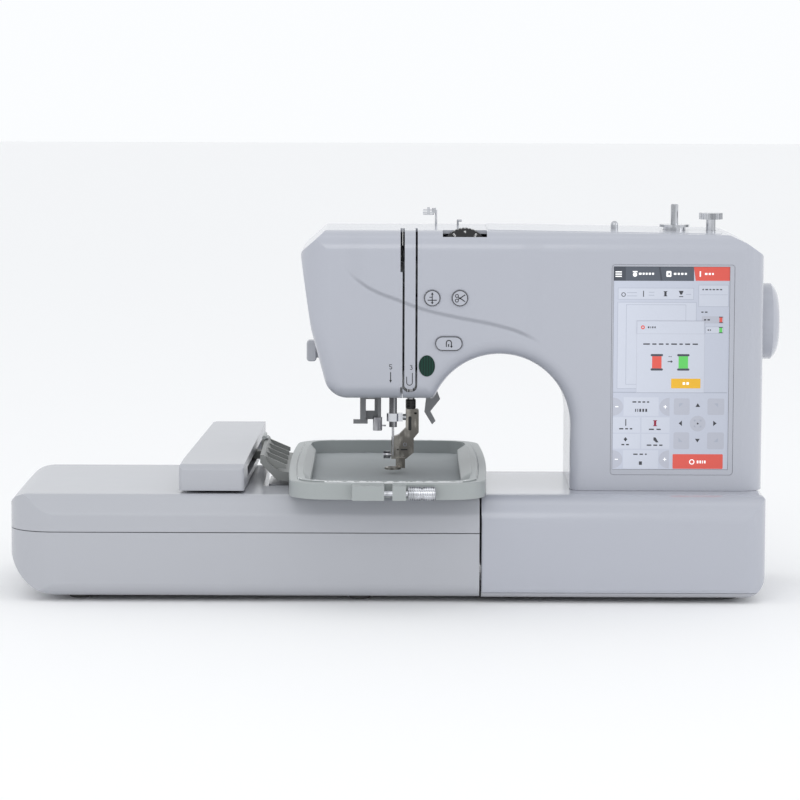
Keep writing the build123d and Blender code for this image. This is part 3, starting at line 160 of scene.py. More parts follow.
def newGroup(name, inputs, outputs):
    # inputs are (name, kind, value), outputs are (name, kind)
    tree = bpy.data.node_groups.new(name, "ShaderNodeTree")
    for label, kind, value in inputs:
        socket = tree.interface.new_socket(label, in_out="INPUT", socket_type=kind)
        if value is not None:
            socket.default_value = value
    for label, kind in outputs:
        tree.interface.new_socket(label, in_out="OUTPUT", socket_type=kind)
    return tree, tree.nodes.new("NodeGroupInput"), tree.nodes.new("NodeGroupOutput")


def link(tree, start, end):
    tree.links.new(start, end)


def mathNode(tree, operation, first, second=None, third=None):
    node = tree.nodes.new("ShaderNodeMath")
    node.operation = operation
    for place, value in enumerate((first, second, third)):
        if value is None:
            continue
        if isinstance(value, (int, float)):
            node.inputs[place].default_value = value
        else:
            tree.links.new(value, node.inputs[place])
    return node.outputs[0]


def mixColour(tree, factor, first, second):
    node = tree.nodes.new("ShaderNodeMix")
    node.data_type = "RGBA"
    for socket, value in ((node.inputs[0], factor), (node.inputs[6], first), (node.inputs[7], second)):
        if isinstance(value, (int, float)):
            socket.default_value = value
        elif isinstance(value, tuple):
            socket.default_value = (*value[:3], 1)
        else:
            tree.links.new(value, socket)
    return node.outputs[2]


def noiseNode(tree, vector, scale, detail=3.0, roughness=0.5):
    node = tree.nodes.new("ShaderNodeTexNoise")
    node.inputs["Detail"].default_value = detail
    node.inputs["Roughness"].default_value = roughness
    if isinstance(scale, (int, float)):
        node.inputs["Scale"].default_value = scale
    else:
        tree.links.new(scale, node.inputs["Scale"])
    tree.links.new(vector, node.inputs["Vector"])
    return node.outputs["Fac"]


def buildMouldGroup():
    # moulded plastic: faint flow marks in the colour, orange peel in the height
    tree, start, end = newGroup(
        "mouldedSurface",
        [
            ("Vector", "NodeSocketVector", None),
            ("Light", "NodeSocketColor", (0.8, 0.8, 0.8, 1)),
            ("Dark", "NodeSocketColor", (0.7, 0.7, 0.7, 1)),
            ("Grain", "NodeSocketFloat", 900.0),
            ("Polish", "NodeSocketFloat", 0.25),
        ],
        [("Color", "NodeSocketColor"), ("Roughness", "NodeSocketFloat"), ("Height", "NodeSocketFloat")],
    )
    flow = noiseNode(tree, start.outputs["Vector"], 7.0, 2.0)
    fine = noiseNode(tree, start.outputs["Vector"], start.outputs["Grain"], 2.0)
    link(tree, mixColour(tree, flow, start.outputs["Light"], start.outputs["Dark"]), end.inputs["Color"])
    patch = noiseNode(tree, start.outputs["Vector"], 38.0, 4.0)
    spread = mathNode(tree, "MULTIPLY_ADD", patch, 0.03, -0.015)
    link(tree, mathNode(tree, "ADD", start.outputs["Polish"], spread), end.inputs["Roughness"])
    link(tree, fine, end.inputs["Height"])
    return tree


def buildBrushedGroup():
    # metal: streaks along one axis, set by the Mapping node before it
    tree, start, end = newGroup(
        "brushedMetal",
        [
            ("Vector", "NodeSocketVector", None),
            ("Light", "NodeSocketColor", (0.8, 0.8, 0.8, 1)),
            ("Dark", "NodeSocketColor", (0.4, 0.4, 0.4, 1)),
            ("Polish", "NodeSocketFloat", 0.2),
        ],
        [("Color", "NodeSocketColor"), ("Roughness", "NodeSocketFloat"), ("Height", "NodeSocketFloat")],
    )
    streak = noiseNode(tree, start.outputs["Vector"], 300.0, 3.0)
    stain = noiseNode(tree, start.outputs["Vector"], 150.0, 2.0)
    sharp = tree.nodes.new("ShaderNodeMapRange")
    sharp.interpolation_type = "SMOOTHSTEP"
    sharp.inputs["From Min"].default_value = 0.42
    sharp.inputs["From Max"].default_value = 0.60
    link(tree, stain, sharp.inputs["Value"])
    link(tree, mixColour(tree, sharp.outputs["Result"], start.outputs["Light"], start.outputs["Dark"]),
         end.inputs["Color"])
    spread = mathNode(tree, "MULTIPLY_ADD", streak, 0.24, -0.12)
    link(tree, mathNode(tree, "ADD", start.outputs["Polish"], spread), end.inputs["Roughness"])
    link(tree, streak, end.inputs["Height"])
    return tree


groups = {"mould": buildMouldGroup(), "brushed": buildBrushedGroup()}


def startMaterial(name):
    mat = bpy.data.materials.new(name)
    mat.use_nodes = True
    tree = mat.node_tree
    shader = tree.nodes["Principled BSDF"]
    coords = tree.nodes.new("ShaderNodeTexCoord")
    return mat, tree, shader, coords


def bumpInto(tree, shader, height, strength, distance):
    bump = tree.nodes.new("ShaderNodeBump")
    bump.inputs["Strength"].default_value = strength
    bump.inputs["Distance"].default_value = distance
    tree.links.new(height, bump.inputs["Height"])
    tree.links.new(bump.outputs["Normal"], shader.inputs["Normal"])
    return bump


def plasticMaterial(name, light, dark, polish, grain=900.0, bump=0.05, coat=0.0, shine=0.5):
    mat, tree, shader, coords = startMaterial(name)
    group = tree.nodes.new("ShaderNodeGroup")
    group.node_tree = groups["mould"]
    link(tree, coords.outputs["Object"], group.inputs["Vector"])
    group.inputs["Light"].default_value = (*light, 1)
    group.inputs["Dark"].default_value = (*dark, 1)
    group.inputs["Grain"].default_value = grain
    group.inputs["Polish"].default_value = polish
    link(tree, group.outputs["Color"], shader.inputs["Base Color"])
    link(tree, group.outputs["Roughness"], shader.inputs["Roughness"])
    shader.inputs["Coat Weight"].default_value = coat
    shader.inputs["Coat Roughness"].default_value = 0.08
    shader.inputs["Specular IOR Level"].default_value = shine
    bumpInto(tree, shader, group.outputs["Height"], bump, 0.0004)
    return mat


def metalMaterial(name, light, dark, polish, stretch=(1, 1, 1), bump=0.08):
    mat, tree, shader, coords = startMaterial(name)
    mapping = tree.nodes.new("ShaderNodeMapping")
    mapping.inputs["Scale"].default_value = stretch
    group = tree.nodes.new("ShaderNodeGroup")
    group.node_tree = groups["brushed"]
    link(tree, coords.outputs["Object"], mapping.inputs["Vector"])
    link(tree, mapping.outputs["Vector"], group.inputs["Vector"])
    group.inputs["Light"].default_value = (*light, 1)
    group.inputs["Dark"].default_value = (*dark, 1)
    group.inputs["Polish"].default_value = polish
    link(tree, group.outputs["Color"], shader.inputs["Base Color"])
    link(tree, group.outputs["Roughness"], shader.inputs["Roughness"])
    shader.inputs["Metallic"].default_value = 1.0
    bumpInto(tree, shader, group.outputs["Height"], bump, 0.0003)
    return mat

body = {
    "whiteLight": (0.44, 0.455, 0.51),
    "whiteDark": (0.435, 0.45, 0.505),
    "greyLight": (0.46, 0.47, 0.505),
    "greyDark": (0.455, 0.465, 0.50),
    "hoopLight": (0.37, 0.395, 0.395),
    "hoopDark": (0.33, 0.355, 0.355),
    # bracket tones: the hoop's grey darkened, painted shade for the bracket that sits in shadow
    "shadedBracketLight": (0.245, 0.255, 0.25),
    "shadedBracketDark": (0.19, 0.195, 0.19),
}


def seamMaterial():
    # the front shell: glossy white with the long shallow S-shaped crease pressed into its front face
    mat = plasticMaterial("caseFront", body["whiteLight"], body["whiteDark"], 0.2, bump=0.02, coat=0.45)
    tree = mat.node_tree
    shader = tree.nodes["Principled BSDF"]
    coords = [n for n in tree.nodes if n.type == "TEX_COORD"][0]
    split = tree.nodes.new("ShaderNodeSeparateXYZ")
    link(tree, coords.outputs["Object"], split.inputs["Vector"])
    # across the face: 0 at the first point, 1 at the last
    points = crease["points"]
    left = (points[0][0] + shift) * mm
    right = (points[-1][0] + shift) * mm
    low = crease["low"] * mm
    high = crease["high"] * mm
    along = mathNode(tree, "DIVIDE", mathNode(tree, "SUBTRACT", split.outputs["X"], left), right - left)
    curve = tree.nodes.new("ShaderNodeFloatCurve")
    link(tree, along, curve.inputs["Value"])
    handles = curve.mapping.curves[0].points
    shape = [(((x + shift) * mm - left) / (right - left), (z * mm - low) / (high - low)) for x, z in points]
    handles[0].location = shape[0]
    handles[1].location = shape[-1]
    for spot in shape[1:-1]:
        handles.new(*spot)
    curve.mapping.update()
    height = mathNode(tree, "MULTIPLY_ADD", curve.outputs["Value"], high - low, low)
    gap = mathNode(tree, "SUBTRACT", split.outputs["Z"], height)
    # a rounded step: the surface above the crease stands a little proud of the one below it
    step = tree.nodes.new("ShaderNodeMapRange")
    step.interpolation_type = "SMOOTHERSTEP"
    step.inputs["From Min"].default_value = -crease["width"] * mm
    step.inputs["From Max"].default_value = crease["width"] * mm
    link(tree, gap, step.inputs["Value"])
    fadeIn = tree.nodes.new("ShaderNodeMapRange")
    fadeIn.interpolation_type = "SMOOTHSTEP"
    fadeIn.inputs["From Max"].default_value = crease["fade"]
    link(tree, along, fadeIn.inputs["Value"])
    fadeOut = tree.nodes.new("ShaderNodeMapRange")
    fadeOut.interpolation_type = "SMOOTHSTEP"
    fadeOut.inputs["From Min"].default_value = 1.0
    fadeOut.inputs["From Max"].default_value = 1.0 - crease["fade"]
    link(tree, along, fadeOut.inputs["Value"])
    front = mathNode(tree, "LESS_THAN", split.outputs["Y"], crease["behind"] * mm)
    mask = mathNode(tree, "MULTIPLY", mathNode(tree, "MULTIPLY", fadeIn.outputs[0], fadeOut.outputs[0]),
        front)
    pressed = mathNode(tree, "MULTIPLY", step.outputs["Result"], mask)
    fineBump = [n for n in tree.nodes if n.type == "BUMP"][0]
    bump = tree.nodes.new("ShaderNodeBump")
    bump.inputs["Strength"].default_value = crease["strength"]
    bump.inputs["Distance"].default_value = crease["depth"] * mm
    link(tree, pressed, bump.inputs["Height"])
    link(tree, fineBump.outputs["Normal"], bump.inputs["Normal"])
    link(tree, bump.outputs["Normal"], shader.inputs["Normal"])
    return mat


crease = {
    # places along the front face in millimetres, left to right
    "points": [
        (-43, 247.8), (-30.8, 236.8), (-17.6, 229), (-2.2, 223.1), (11, 218.1), (24.2, 214.3), (41.8, 210.4),
        (59.4, 207.1), (73.7, 204), (89.8, 199), (108, 189.5),
    ],
    "low": 184,
    "high": 252,
    "width": 2.6,
    "depth": 2.4,
    "strength": 0.9,
    "fade": 0.12,
    "behind": -60,
}


def fabricMaterial():
    mat, tree, shader, coords = startMaterial("wovenCloth")
    mapping = tree.nodes.new("ShaderNodeMapping")
    link(tree, coords.outputs["Object"], mapping.inputs["Vector"])
    threads = []
    for direction in ("X", "Y"):
        wave = tree.nodes.new("ShaderNodeTexWave")
        wave.wave_type = "BANDS"
        wave.bands_direction = direction
        wave.inputs["Scale"].default_value = 420
        wave.inputs["Distortion"].default_value = 0.6
        wave.inputs["Detail"].default_value = 1
        link(tree, mapping.outputs["Vector"], wave.inputs["Vector"])
        threads.append(wave.outputs["Fac"])
    weave = mathNode(tree, "MULTIPLY", threads[0], threads[1])
    cloud = noiseNode(tree, mapping.outputs["Vector"], 22.0, 3.0)
    tone = mixColour(tree, cloud, (0.43, 0.455, 0.465), (0.36, 0.385, 0.395))
    shade = mixColour(tree, mathNode(tree, "MULTIPLY", weave, 0.35), tone, (0.26, 0.28, 0.285))
    link(tree, shade, shader.inputs["Base Color"])
    shader.inputs["Roughness"].default_value = 0.9
    bumpInto(tree, shader, weave, 0.35, 0.0003)
    return mat


def glassMaterial():
    # the clear slide over the bobbin
    mat, tree, shader, coords = startMaterial("clearSlide")
    fine = noiseNode(tree, coords.outputs["Object"], 60.0, 3.0)
    link(tree, mixColour(tree, fine, (0.86, 0.89, 0.88), (0.78, 0.82, 0.81)), shader.inputs["Base Color"])
    link(tree, mathNode(tree, "MULTIPLY_ADD", fine, 0.06, 0.04), shader.inputs["Roughness"])
    shader.inputs["Transmission Weight"].default_value = 0.82
    shader.inputs["IOR"].default_value = 1.49
    return mat


def litMaterial(name, colour, glow=0.35):
    # lit display: a faint sheen from left to right and a fine grain
    mat, tree, shader, coords = startMaterial(name)
    split = tree.nodes.new("ShaderNodeSeparateXYZ")
    link(tree, coords.outputs["Object"], split.inputs["Vector"])
    sheen = tree.nodes.new("ShaderNodeMapRange")
    sheen.inputs["From Min"].default_value = 0.160
    sheen.inputs["From Max"].default_value = 0.250
    link(tree, split.outputs["X"], sheen.inputs["Value"])
    grain = noiseNode(tree, coords.outputs["Object"], 2600.0, 1.0)
    factor = mathNode(tree, "MULTIPLY_ADD", grain, 0.12, sheen.outputs["Result"])
    tone = mixColour(tree, factor, colour, tuple(c * 0.86 for c in colour))
    link(tree, tone, shader.inputs["Base Color"])
    link(tree, tone, shader.inputs["Emission Color"])
    shader.inputs["Emission Strength"].default_value = glow
    link(tree, mathNode(tree, "MULTIPLY_ADD", grain, 0.06, 0.22), shader.inputs["Roughness"])
    return mat


def lensMaterial():
    mat, tree, shader, coords = startMaterial("lampLens")
    wave = tree.nodes.new("ShaderNodeTexWave")
    wave.inputs["Scale"].default_value = 160
    wave.bands_direction = "X"
    link(tree, coords.outputs["Object"], wave.inputs["Vector"])
    link(tree, mixColour(tree, wave.outputs["Fac"], (0.002, 0.018, 0.012), (0.004, 0.045, 0.030)),
         shader.inputs["Base Color"])
    shader.inputs["Roughness"].default_value = 0.3
    shader.inputs["Specular IOR Level"].default_value = 0.25
    bumpInto(tree, shader, wave.outputs["Fac"], 0.12, 0.0004)
    return mat


mats = {
    "white": plasticMaterial("caseWhite", body["whiteLight"], body["whiteDark"], 0.2, bump=0.02, coat=0.45),
    "front": seamMaterial(),
    "grey": plasticMaterial("caseGrey", body["greyLight"], body["greyDark"], 0.25, bump=0.02, coat=0.1,
        shine=0.2),
    "hoop": plasticMaterial("hoopGrey", body["hoopLight"], body["hoopDark"], 0.36, grain=700, bump=0.08),
    # darker copy of the hoop plastic: painted shade on the bracket; the hoop holder and carriage bracket
    # share it
    "bracket": plasticMaterial("bracketPaintedShade", body["shadedBracketLight"], body["shadedBracketDark"], 0.42, grain=600,
        bump=0.1),
    "dark": plasticMaterial("darkPlastic", (0.02, 0.021, 0.023), (0.013, 0.014, 0.015), 0.32),
    "black": plasticMaterial("blackPlastic", (0.006, 0.006, 0.007), (0.004, 0.004, 0.005), 0.28),
    "mark": plasticMaterial("printedMark", (0.025, 0.026, 0.03), (0.018, 0.019, 0.022), 0.55),
    "paleMark": plasticMaterial("paleMark", (0.72, 0.72, 0.72), (0.62, 0.62, 0.62), 0.5),
    "rubber": plasticMaterial("footRubber", (0.13, 0.13, 0.13), (0.09, 0.09, 0.09), 0.7, grain=1400,
        bump=0.2),
    "belt": plasticMaterial("beltRubber", (0.02, 0.02, 0.02), (0.012, 0.012, 0.012), 0.75, grain=1600,
        bump=0.3),
    "board": plasticMaterial("boardGreen", (0.012, 0.12, 0.05), (0.008, 0.09, 0.035), 0.4, grain=500,
        bump=0.3),
    "chrome": metalMaterial("chrome", (0.58, 0.59, 0.62), (0.36, 0.37, 0.39), 0.13, (1, 1, 0.15)),
    "steel": metalMaterial("steel", (0.52, 0.52, 0.54), (0.20, 0.20, 0.22), 0.3, (1, 1, 0.1)),
    "footMetal": metalMaterial("footMetal", (0.36, 0.34, 0.31), (0.17, 0.16, 0.145), 0.3, (1, 1, 0.4)),
    "leverGrey": plasticMaterial("leverGrey", (0.26, 0.265, 0.28), (0.20, 0.205, 0.215), 0.3),
    "alloy": metalMaterial("castAlloy", (0.52, 0.53, 0.54), (0.4, 0.41, 0.42), 0.55, (1, 1, 1), 0.3),
    "barSteel": metalMaterial("barSteel", (0.30, 0.30, 0.31), (0.035, 0.035, 0.04), 0.22, (1, 1, 0.06)),
    "clothEdge": plasticMaterial("clothEdge", (0.90, 0.91, 0.92), (0.78, 0.79, 0.80), 0.8, grain=1600,
        bump=0.3),
    "clear": glassMaterial(),
    "lens": lensMaterial(),
    "cloth": fabricMaterial(),
    "uiBack": litMaterial("uiBack", (0.43, 0.455, 0.53)),
    "uiPanel": litMaterial("uiPanel", (0.475, 0.50, 0.57)),
    "uiLine": litMaterial("uiLine", (0.33, 0.355, 0.42)),
    "uiTile": litMaterial("uiTile", (0.385, 0.40, 0.46)),
    "uiHeader": litMaterial("uiHeader", (0.072, 0.083, 0.105)),
    "uiHeaderDark": litMaterial("uiHeaderDark", (0.045, 0.052, 0.068)),
    "uiRed": litMaterial("uiRed", (0.60, 0.082, 0.062)),
    "uiGreen": litMaterial("uiGreen", (0.10, 0.50, 0.10)),
    "uiYellow": litMaterial("uiYellow", (0.68, 0.38, 0.02)),
    "uiWhite": litMaterial("uiWhite", (0.86, 0.86, 0.86), 0.5),
    "uiDark": litMaterial("uiDark", (0.035, 0.037, 0.045)),
    "uiWine": litMaterial("uiWine", (0.22, 0.012, 0.035)),
}
print("materials made:", len(mats))

cladding = {
    "front": ["front_cover", "face_cover", "takeup_strip"],
    "white": [
        "rear_cover", "top_cover", "base_housing", "free_arm_cover", "screen_bezel",
        "needle_button", "trim_button", "start_button", "handwheel",
    ],
    "grey": ["unit_upper_shell", "unit_lower_shell", "carriage_housing", "bottom_plate", "threader_lever"],
    "hoop": ["hoop_outer", "hoop_inner", "hoop_latch"],
    # these pieces get the hoop grey darkened with painted shade
    "bracket": ["hoop_bracket", "hoop_holder", "carriage_bracket"],
    "black": ["display_panel", "power_switch", "power_inlet", "tension_dial"],
    "dark": ["bobbin_case", "motor", "unit_motor"],
    "rubber": ["feet"],
    "belt": ["drive_belts"],
    "board": ["circuit_boards"],
    "chrome": ["winder_spindle", "winder_stop", "hoop_screw", "needle_clamp", "take_up_lever",
        "thread_guides"],
    "barSteel": ["needle_bar", "presser_bar"],
    "steel": [
        "needle_plate", "needle", "main_shaft", "lower_shaft", "motor_pulley",
        "unit_guide_rods", "carriage_rail", "case_screws", "rotary_hook", "presser_foot_screw",
        "threader_hook",
    ],
    "footMetal": ["presser_foot"],
    "leverGrey": ["presser_lifter", "threader_bracket"],
    "alloy": ["cast_frame"],
    "clear": ["bobbin_cover", "bobbin"],
    "lens": ["lamp_lens"],
    "cloth": ["hooped_fabric"],
}


def dressNodes():
    byNode = {name: key for key, names in cladding.items() for name in names}
    missing = []
    for name, items in nodes.items():
        key = byNode.get(name)
        if key is None:
            missing.append(name)
            key = "white"
        for item in items if isinstance(items, (list, tuple)) else [items]:
            item.data.materials.clear()
            item.data.materials.append(mats[key])
    print("nodes dressed:", len(nodes), "without an entry:", missing)


dressNodes()


def finishPiece(item, name, material, node=None, body=None):
    # name it, dress it and let it ride with a CAD node's body
    item.name = name
    item.data.name = name
    item.data.materials.clear()
    item.data.materials.append(mats[material])
    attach(item, body or bodyOf(node))
    return item


def bodyOf(node):
    return nodes[node]["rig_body"]


def flatPlates(shapes, thick, front, name, material, node):
    # thin plates standing in the XZ plane, in one mesh, with the front face at y = front
    # each shape is (outline, holes) in machine millimetres
    bm = bmesh.new()
    for outline, holes in shapes:
        edges = []
        for ring in (outline, *holes):
            verts = [bm.verts.new(((x + shift) * mm, front * mm, z * mm)) for x, z in ring]
            edges.extend(bm.edges.new((verts[i], verts[(i + 1) % len(verts)])) for i in range(len(verts)))
        filled = bmesh.ops.triangle_fill(bm, use_beauty=True, use_dissolve=False, edges=edges)
        faces = [f for f in filled["geom"] if isinstance(f, bmesh.types.BMFace)]
        grown = bmesh.ops.extrude_face_region(bm, geom=faces)
        moved = [v for v in grown["geom"] if isinstance(v, bmesh.types.BMVert)]
        bmesh.ops.translate(bm, vec=(0, thick * mm, 0), verts=moved)
    bmesh.ops.recalc_face_normals(bm, faces=bm.faces)
    data = bpy.data.meshes.new(name)
    bm.to_mesh(data)
    bm.free()
    item = bpy.data.objects.new(name, data)
    bpy.context.scene.collection.objects.link(item)
    return finishPiece(item, name, material, node=node)


def flatPlate(outline, thick, front, name, material, node, holes=()):
    return flatPlates([(outline, holes)], thick, front, name, material, node)


def rectangle(left, low, right, high):
    return [(left, low), (right, low), (right, high), (left, high)]


def roundedRectangle(left, low, right, high, radius, steps=6):
    points = []
    for cx, cz, start in (
        (right - radius, low + radius, -90), (right - radius, high - radius, 0),
        (left + radius, high - radius, 90), (left + radius, low + radius, 180),
    ):
        for step in range(steps + 1):
            angle = math.radians(start + 90 * step / steps)
            points.append((cx + radius * math.cos(angle), cz + radius * math.sin(angle)))
    return points


def circle(cx, cz, radius, steps=40):
    return [
        (cx + radius * math.cos(2 * math.pi * k / steps), cz + radius * math.sin(2 * math.pi * k / steps))
        for k in range(steps)
    ]


def stroke(points, width, closed=False):
    # a ribbon of even width along a line, as one outline
    left = []
    right = []
    count = len(points)
    for k, (x, z) in enumerate(points):
        before = points[k - 1] if k or closed else points[0]
        after = points[(k + 1) % count] if k < count - 1 or closed else points[-1]
        dx, dz = after[0] - before[0], after[1] - before[1]
        length = math.hypot(dx, dz) or 1
        nx, nz = -dz / length * width / 2, dx / length * width / 2
        left.append((x + nx, z + nz))
        right.append((x - nx, z - nz))
    return left + right[::-1]


def arcPoints(cx, cz, radius, start, end, steps=14):
    return [
        (cx + radius * math.cos(math.radians(start + (end - start) * k / steps)),
         cz + radius * math.sin(math.radians(start + (end - start) * k / steps)))
        for k in range(steps + 1)
    ]


buttons = {
    "faceY": -84.8,            # front of the caps
    "markThick": 0.12,
    "markProud": 0.06,
    "ringWidth": 0.55,
    "needleX": 23.5,
    "trimX": 44.2,
    "roundZ": 224.7,
    "startX": 36.1,
    "startZ": 190.6,
    "lensX": 19.7,
    "lensZ": 173.7,
}


def capMark(outline, name, node, material="mark", holes=()):
    return flatPlate(outline, buttons["markThick"], buttons["faceY"] - buttons["markProud"], name, material,
        node,
                     holes)


def makeButtonMarks():
    nx, tx, rz = buttons["needleX"], buttons["trimX"], buttons["roundZ"]
    sx, sz = buttons["startX"], buttons["startZ"]
    wide = buttons["ringWidth"]
    for name, x, node in (("needleRing", nx, "needle_button"), ("trimRing", tx, "trim_button")):
        capMark(circle(x, rz, 5.95), name, node, holes=[circle(x, rz, 5.95 - wide)])
    capMark(roundedRectangle(sx - 10.1, sz - 5.3, sx + 10.1, sz + 5.3, 5.29), "startRing", "start_button",
            holes=[roundedRectangle(sx - 10.1 + wide, sz - 5.3 + wide, sx + 10.1 - wide, sz + 5.3 - wide,
                4.7)])
    # needle going up and down over the cloth
    capMark(rectangle(nx - 0.35, rz - 3.9, nx + 0.35, rz + 3.6), "needleSign_stem", "needle_button")
    capMark([(nx - 3.4, rz - 1.9), (nx + 3.4, rz - 1.9), (nx + 3.4, rz - 1.2), (nx - 3.4, rz - 1.2)],
            "needleSign_cloth", "needle_button")
    capMark([(nx, rz - 4.6), (nx + 1.1, rz - 3.0), (nx - 1.1, rz - 3.0)], "needleSign_down", "needle_button")
    capMark([(nx - 1.0, rz + 2.7), (nx + 1.0, rz + 2.7), (nx, rz + 4.4)], "needleSign_up", "needle_button")
    capMark(rectangle(nx - 2.2, rz + 0.4, nx - 0.35, rz + 0.95), "needleSign_eye", "needle_button")
    # scissors
    for side in (1, -1):
        capMark(stroke([(tx - 0.2, rz - 0.25 * side), (tx + 3.9, rz + 2.6 * side)], 0.75),
                "trimSign_blade%d" % (1 if side > 0 else 2), "trim_button")
        ring = circle(tx - 2.3, rz + 1.75 * side, 1.45, 22)
        hole = circle(tx - 2.3, rz + 1.75 * side, 0.85, 22)
        capMark(ring, "trimSign_loop%d" % (1 if side > 0 else 2), "trim_button", holes=[hole])
        capMark(stroke([(tx - 1.3, rz + 0.75 * side), (tx + 0.6, rz - 0.45 * side)], 0.65),
                "trimSign_shank%d" % (1 if side > 0 else 2), "trim_button")
    # thread arch with its end turned up: start and stop
    arch = [(sx - 1.9, sz - 2.4)] + arcPoints(sx, sz + 0.6, 1.9, 180, 0) + [(sx + 1.9, sz - 2.4)]
    capMark(stroke(arch, 0.75), "startSign_arch", "start_button")
    capMark(stroke([(sx - 0.2, sz - 2.4), (sx - 0.2, sz - 0.2)], 0.8), "startSign_stop", "start_button")
    capMark([(sx + 0.9, sz - 1.7), (sx + 2.9, sz - 1.7), (sx + 1.9, sz - 3.2)], "startSign_tip",
        "start_button")
    print("button marks made")


def makeDigit(digit, cx, low, tall, width, name, node, front, material="mark"):
    # plain seven-part digit drawn as one ribbon
    w = tall * 0.52
    left, right, high, middle = cx - w / 2, cx + w / 2, low + tall, low + tall / 2
    shapes = {
        "5": [(right, high), (left, high), (left, middle + 0.1 * tall)]
             + arcPoints(cx - 0.02, low + tall * 0.29, tall * 0.27, 110, -150, 12),
        "3": [(left, high), (right - 0.1, high), (cx, middle + 0.1 * tall)]
             + arcPoints(cx - 0.02, low + tall * 0.29, tall * 0.27, 80, -150, 12),
    }
    flatPlate(stroke(shapes[digit], width), 0.12, front, name, material, node)


def makeThreadMarks():
    flat = -83.5 - 0.06
    makeDigit("5", -7.4, 171.2, 3.4, 0.55, "threadMark_five", "face_cover", flat)
    flatPlate(rectangle(-7.75, 162.4, -7.05, 168.9), 0.12, flat, "threadMark_arrow", "mark", "face_cover")
    flatPlate([(-8.4, 163.0), (-6.4, 163.0), (-7.4, 160.9)], 0.12, flat, "threadMark_tip", "mark",
        "face_cover")
    makeDigit("3", 8.0, 170.9, 3.2, 0.5, "threadMark_three", "takeup_strip", flat)
    hook = [(8.9, 168.4), (8.9, 161.3)] + arcPoints(6.75, 161.3, 2.15, 0, -180) + [(4.6, 165.6)]
    flatPlate(stroke(hook, 0.6), 0.12, flat, "threadMark_turn", "mark", "takeup_strip")
    print("thread marks made")


makeButtonMarks()
makeThreadMarks()


display = {
    "left": 159.0,              # lit area, in machine millimetres
    "high": 248.8,
    "unitWide": 0.87,           # the page is 100 units wide and 175 high, from its top left corner
    "unitTall": 0.8726,
    "glassY": -82.6,
    "layer": 0.035,
}


def pageBox(left, top, right, low):
    return [pagePoint(left, low), pagePoint(right, low), pagePoint(right, top), pagePoint(left, top)]


def pagePoint(across, down):
    return (display["left"] + across * display["unitWide"], display["high"] - down * display["unitTall"])


def pageShape(points):
    return [pagePoint(*p) for p in points]


def pageRound(left, top, right, low, radius):
    return [pagePoint(x, z) for x, z in roundedRectangle(left, top, right, low, radius, 4)]


def pageCircle(cx, cy, radius, steps=28):
    return [pagePoint(x, z) for x, z in circle(cx, cy, radius, steps)]


def halfDisc(cx, cy, wide, tall, side):
    points = []
    for k in range(19):
        angle = math.radians(-90 + 10 * k)
        points.append(pagePoint(cx + side * wide * math.cos(angle), cy + tall * math.sin(angle)))
    return points


def pageLayer(name, outlines, material, level):
    shapes = [o if isinstance(o, tuple) else (o, ()) for o in outlines]
    front = display["glassY"] - 0.02 - display["layer"] * level
    return flatPlates(shapes, display["layer"] * level + 0.012, front, name, material, "display_panel")


def dashes(left, right, down, tall, lengths):
    # a row of short bars that stands for a caption
    total = sum(lengths) + 0.6 * (len(lengths) - 1)
    scale = (right - left) / total
    boxes = []
    across = left
    for length in lengths:
        boxes.append(pageBox(across, down - tall / 2, across + length * scale, down + tall / 2))
        across += (length + 0.6) * scale
    return boxes


def spoolSign(cx, cy, wide, tall):
    # two flanges, top and bottom
    rim = tall * 0.13
    return [
        pageRound(cx - wide / 2, cy - tall / 2, cx + wide / 2, cy - tall / 2 + rim, rim * 0.45),
        pageRound(cx - wide / 2, cy + tall / 2 - rim, cx + wide / 2, cy + tall / 2, rim * 0.45),
    ]


def spoolBody(cx, cy, wide, tall):
    return pageBox(cx - wide * 0.4, cy - tall * 0.38, cx + wide * 0.4, cy + tall * 0.38)


def frameLine(left, top, right, low, wide=0.35):
    return (pageBox(left, top, right, low), (pageBox(left + wide, top + wide, right - wide, low - wide),))


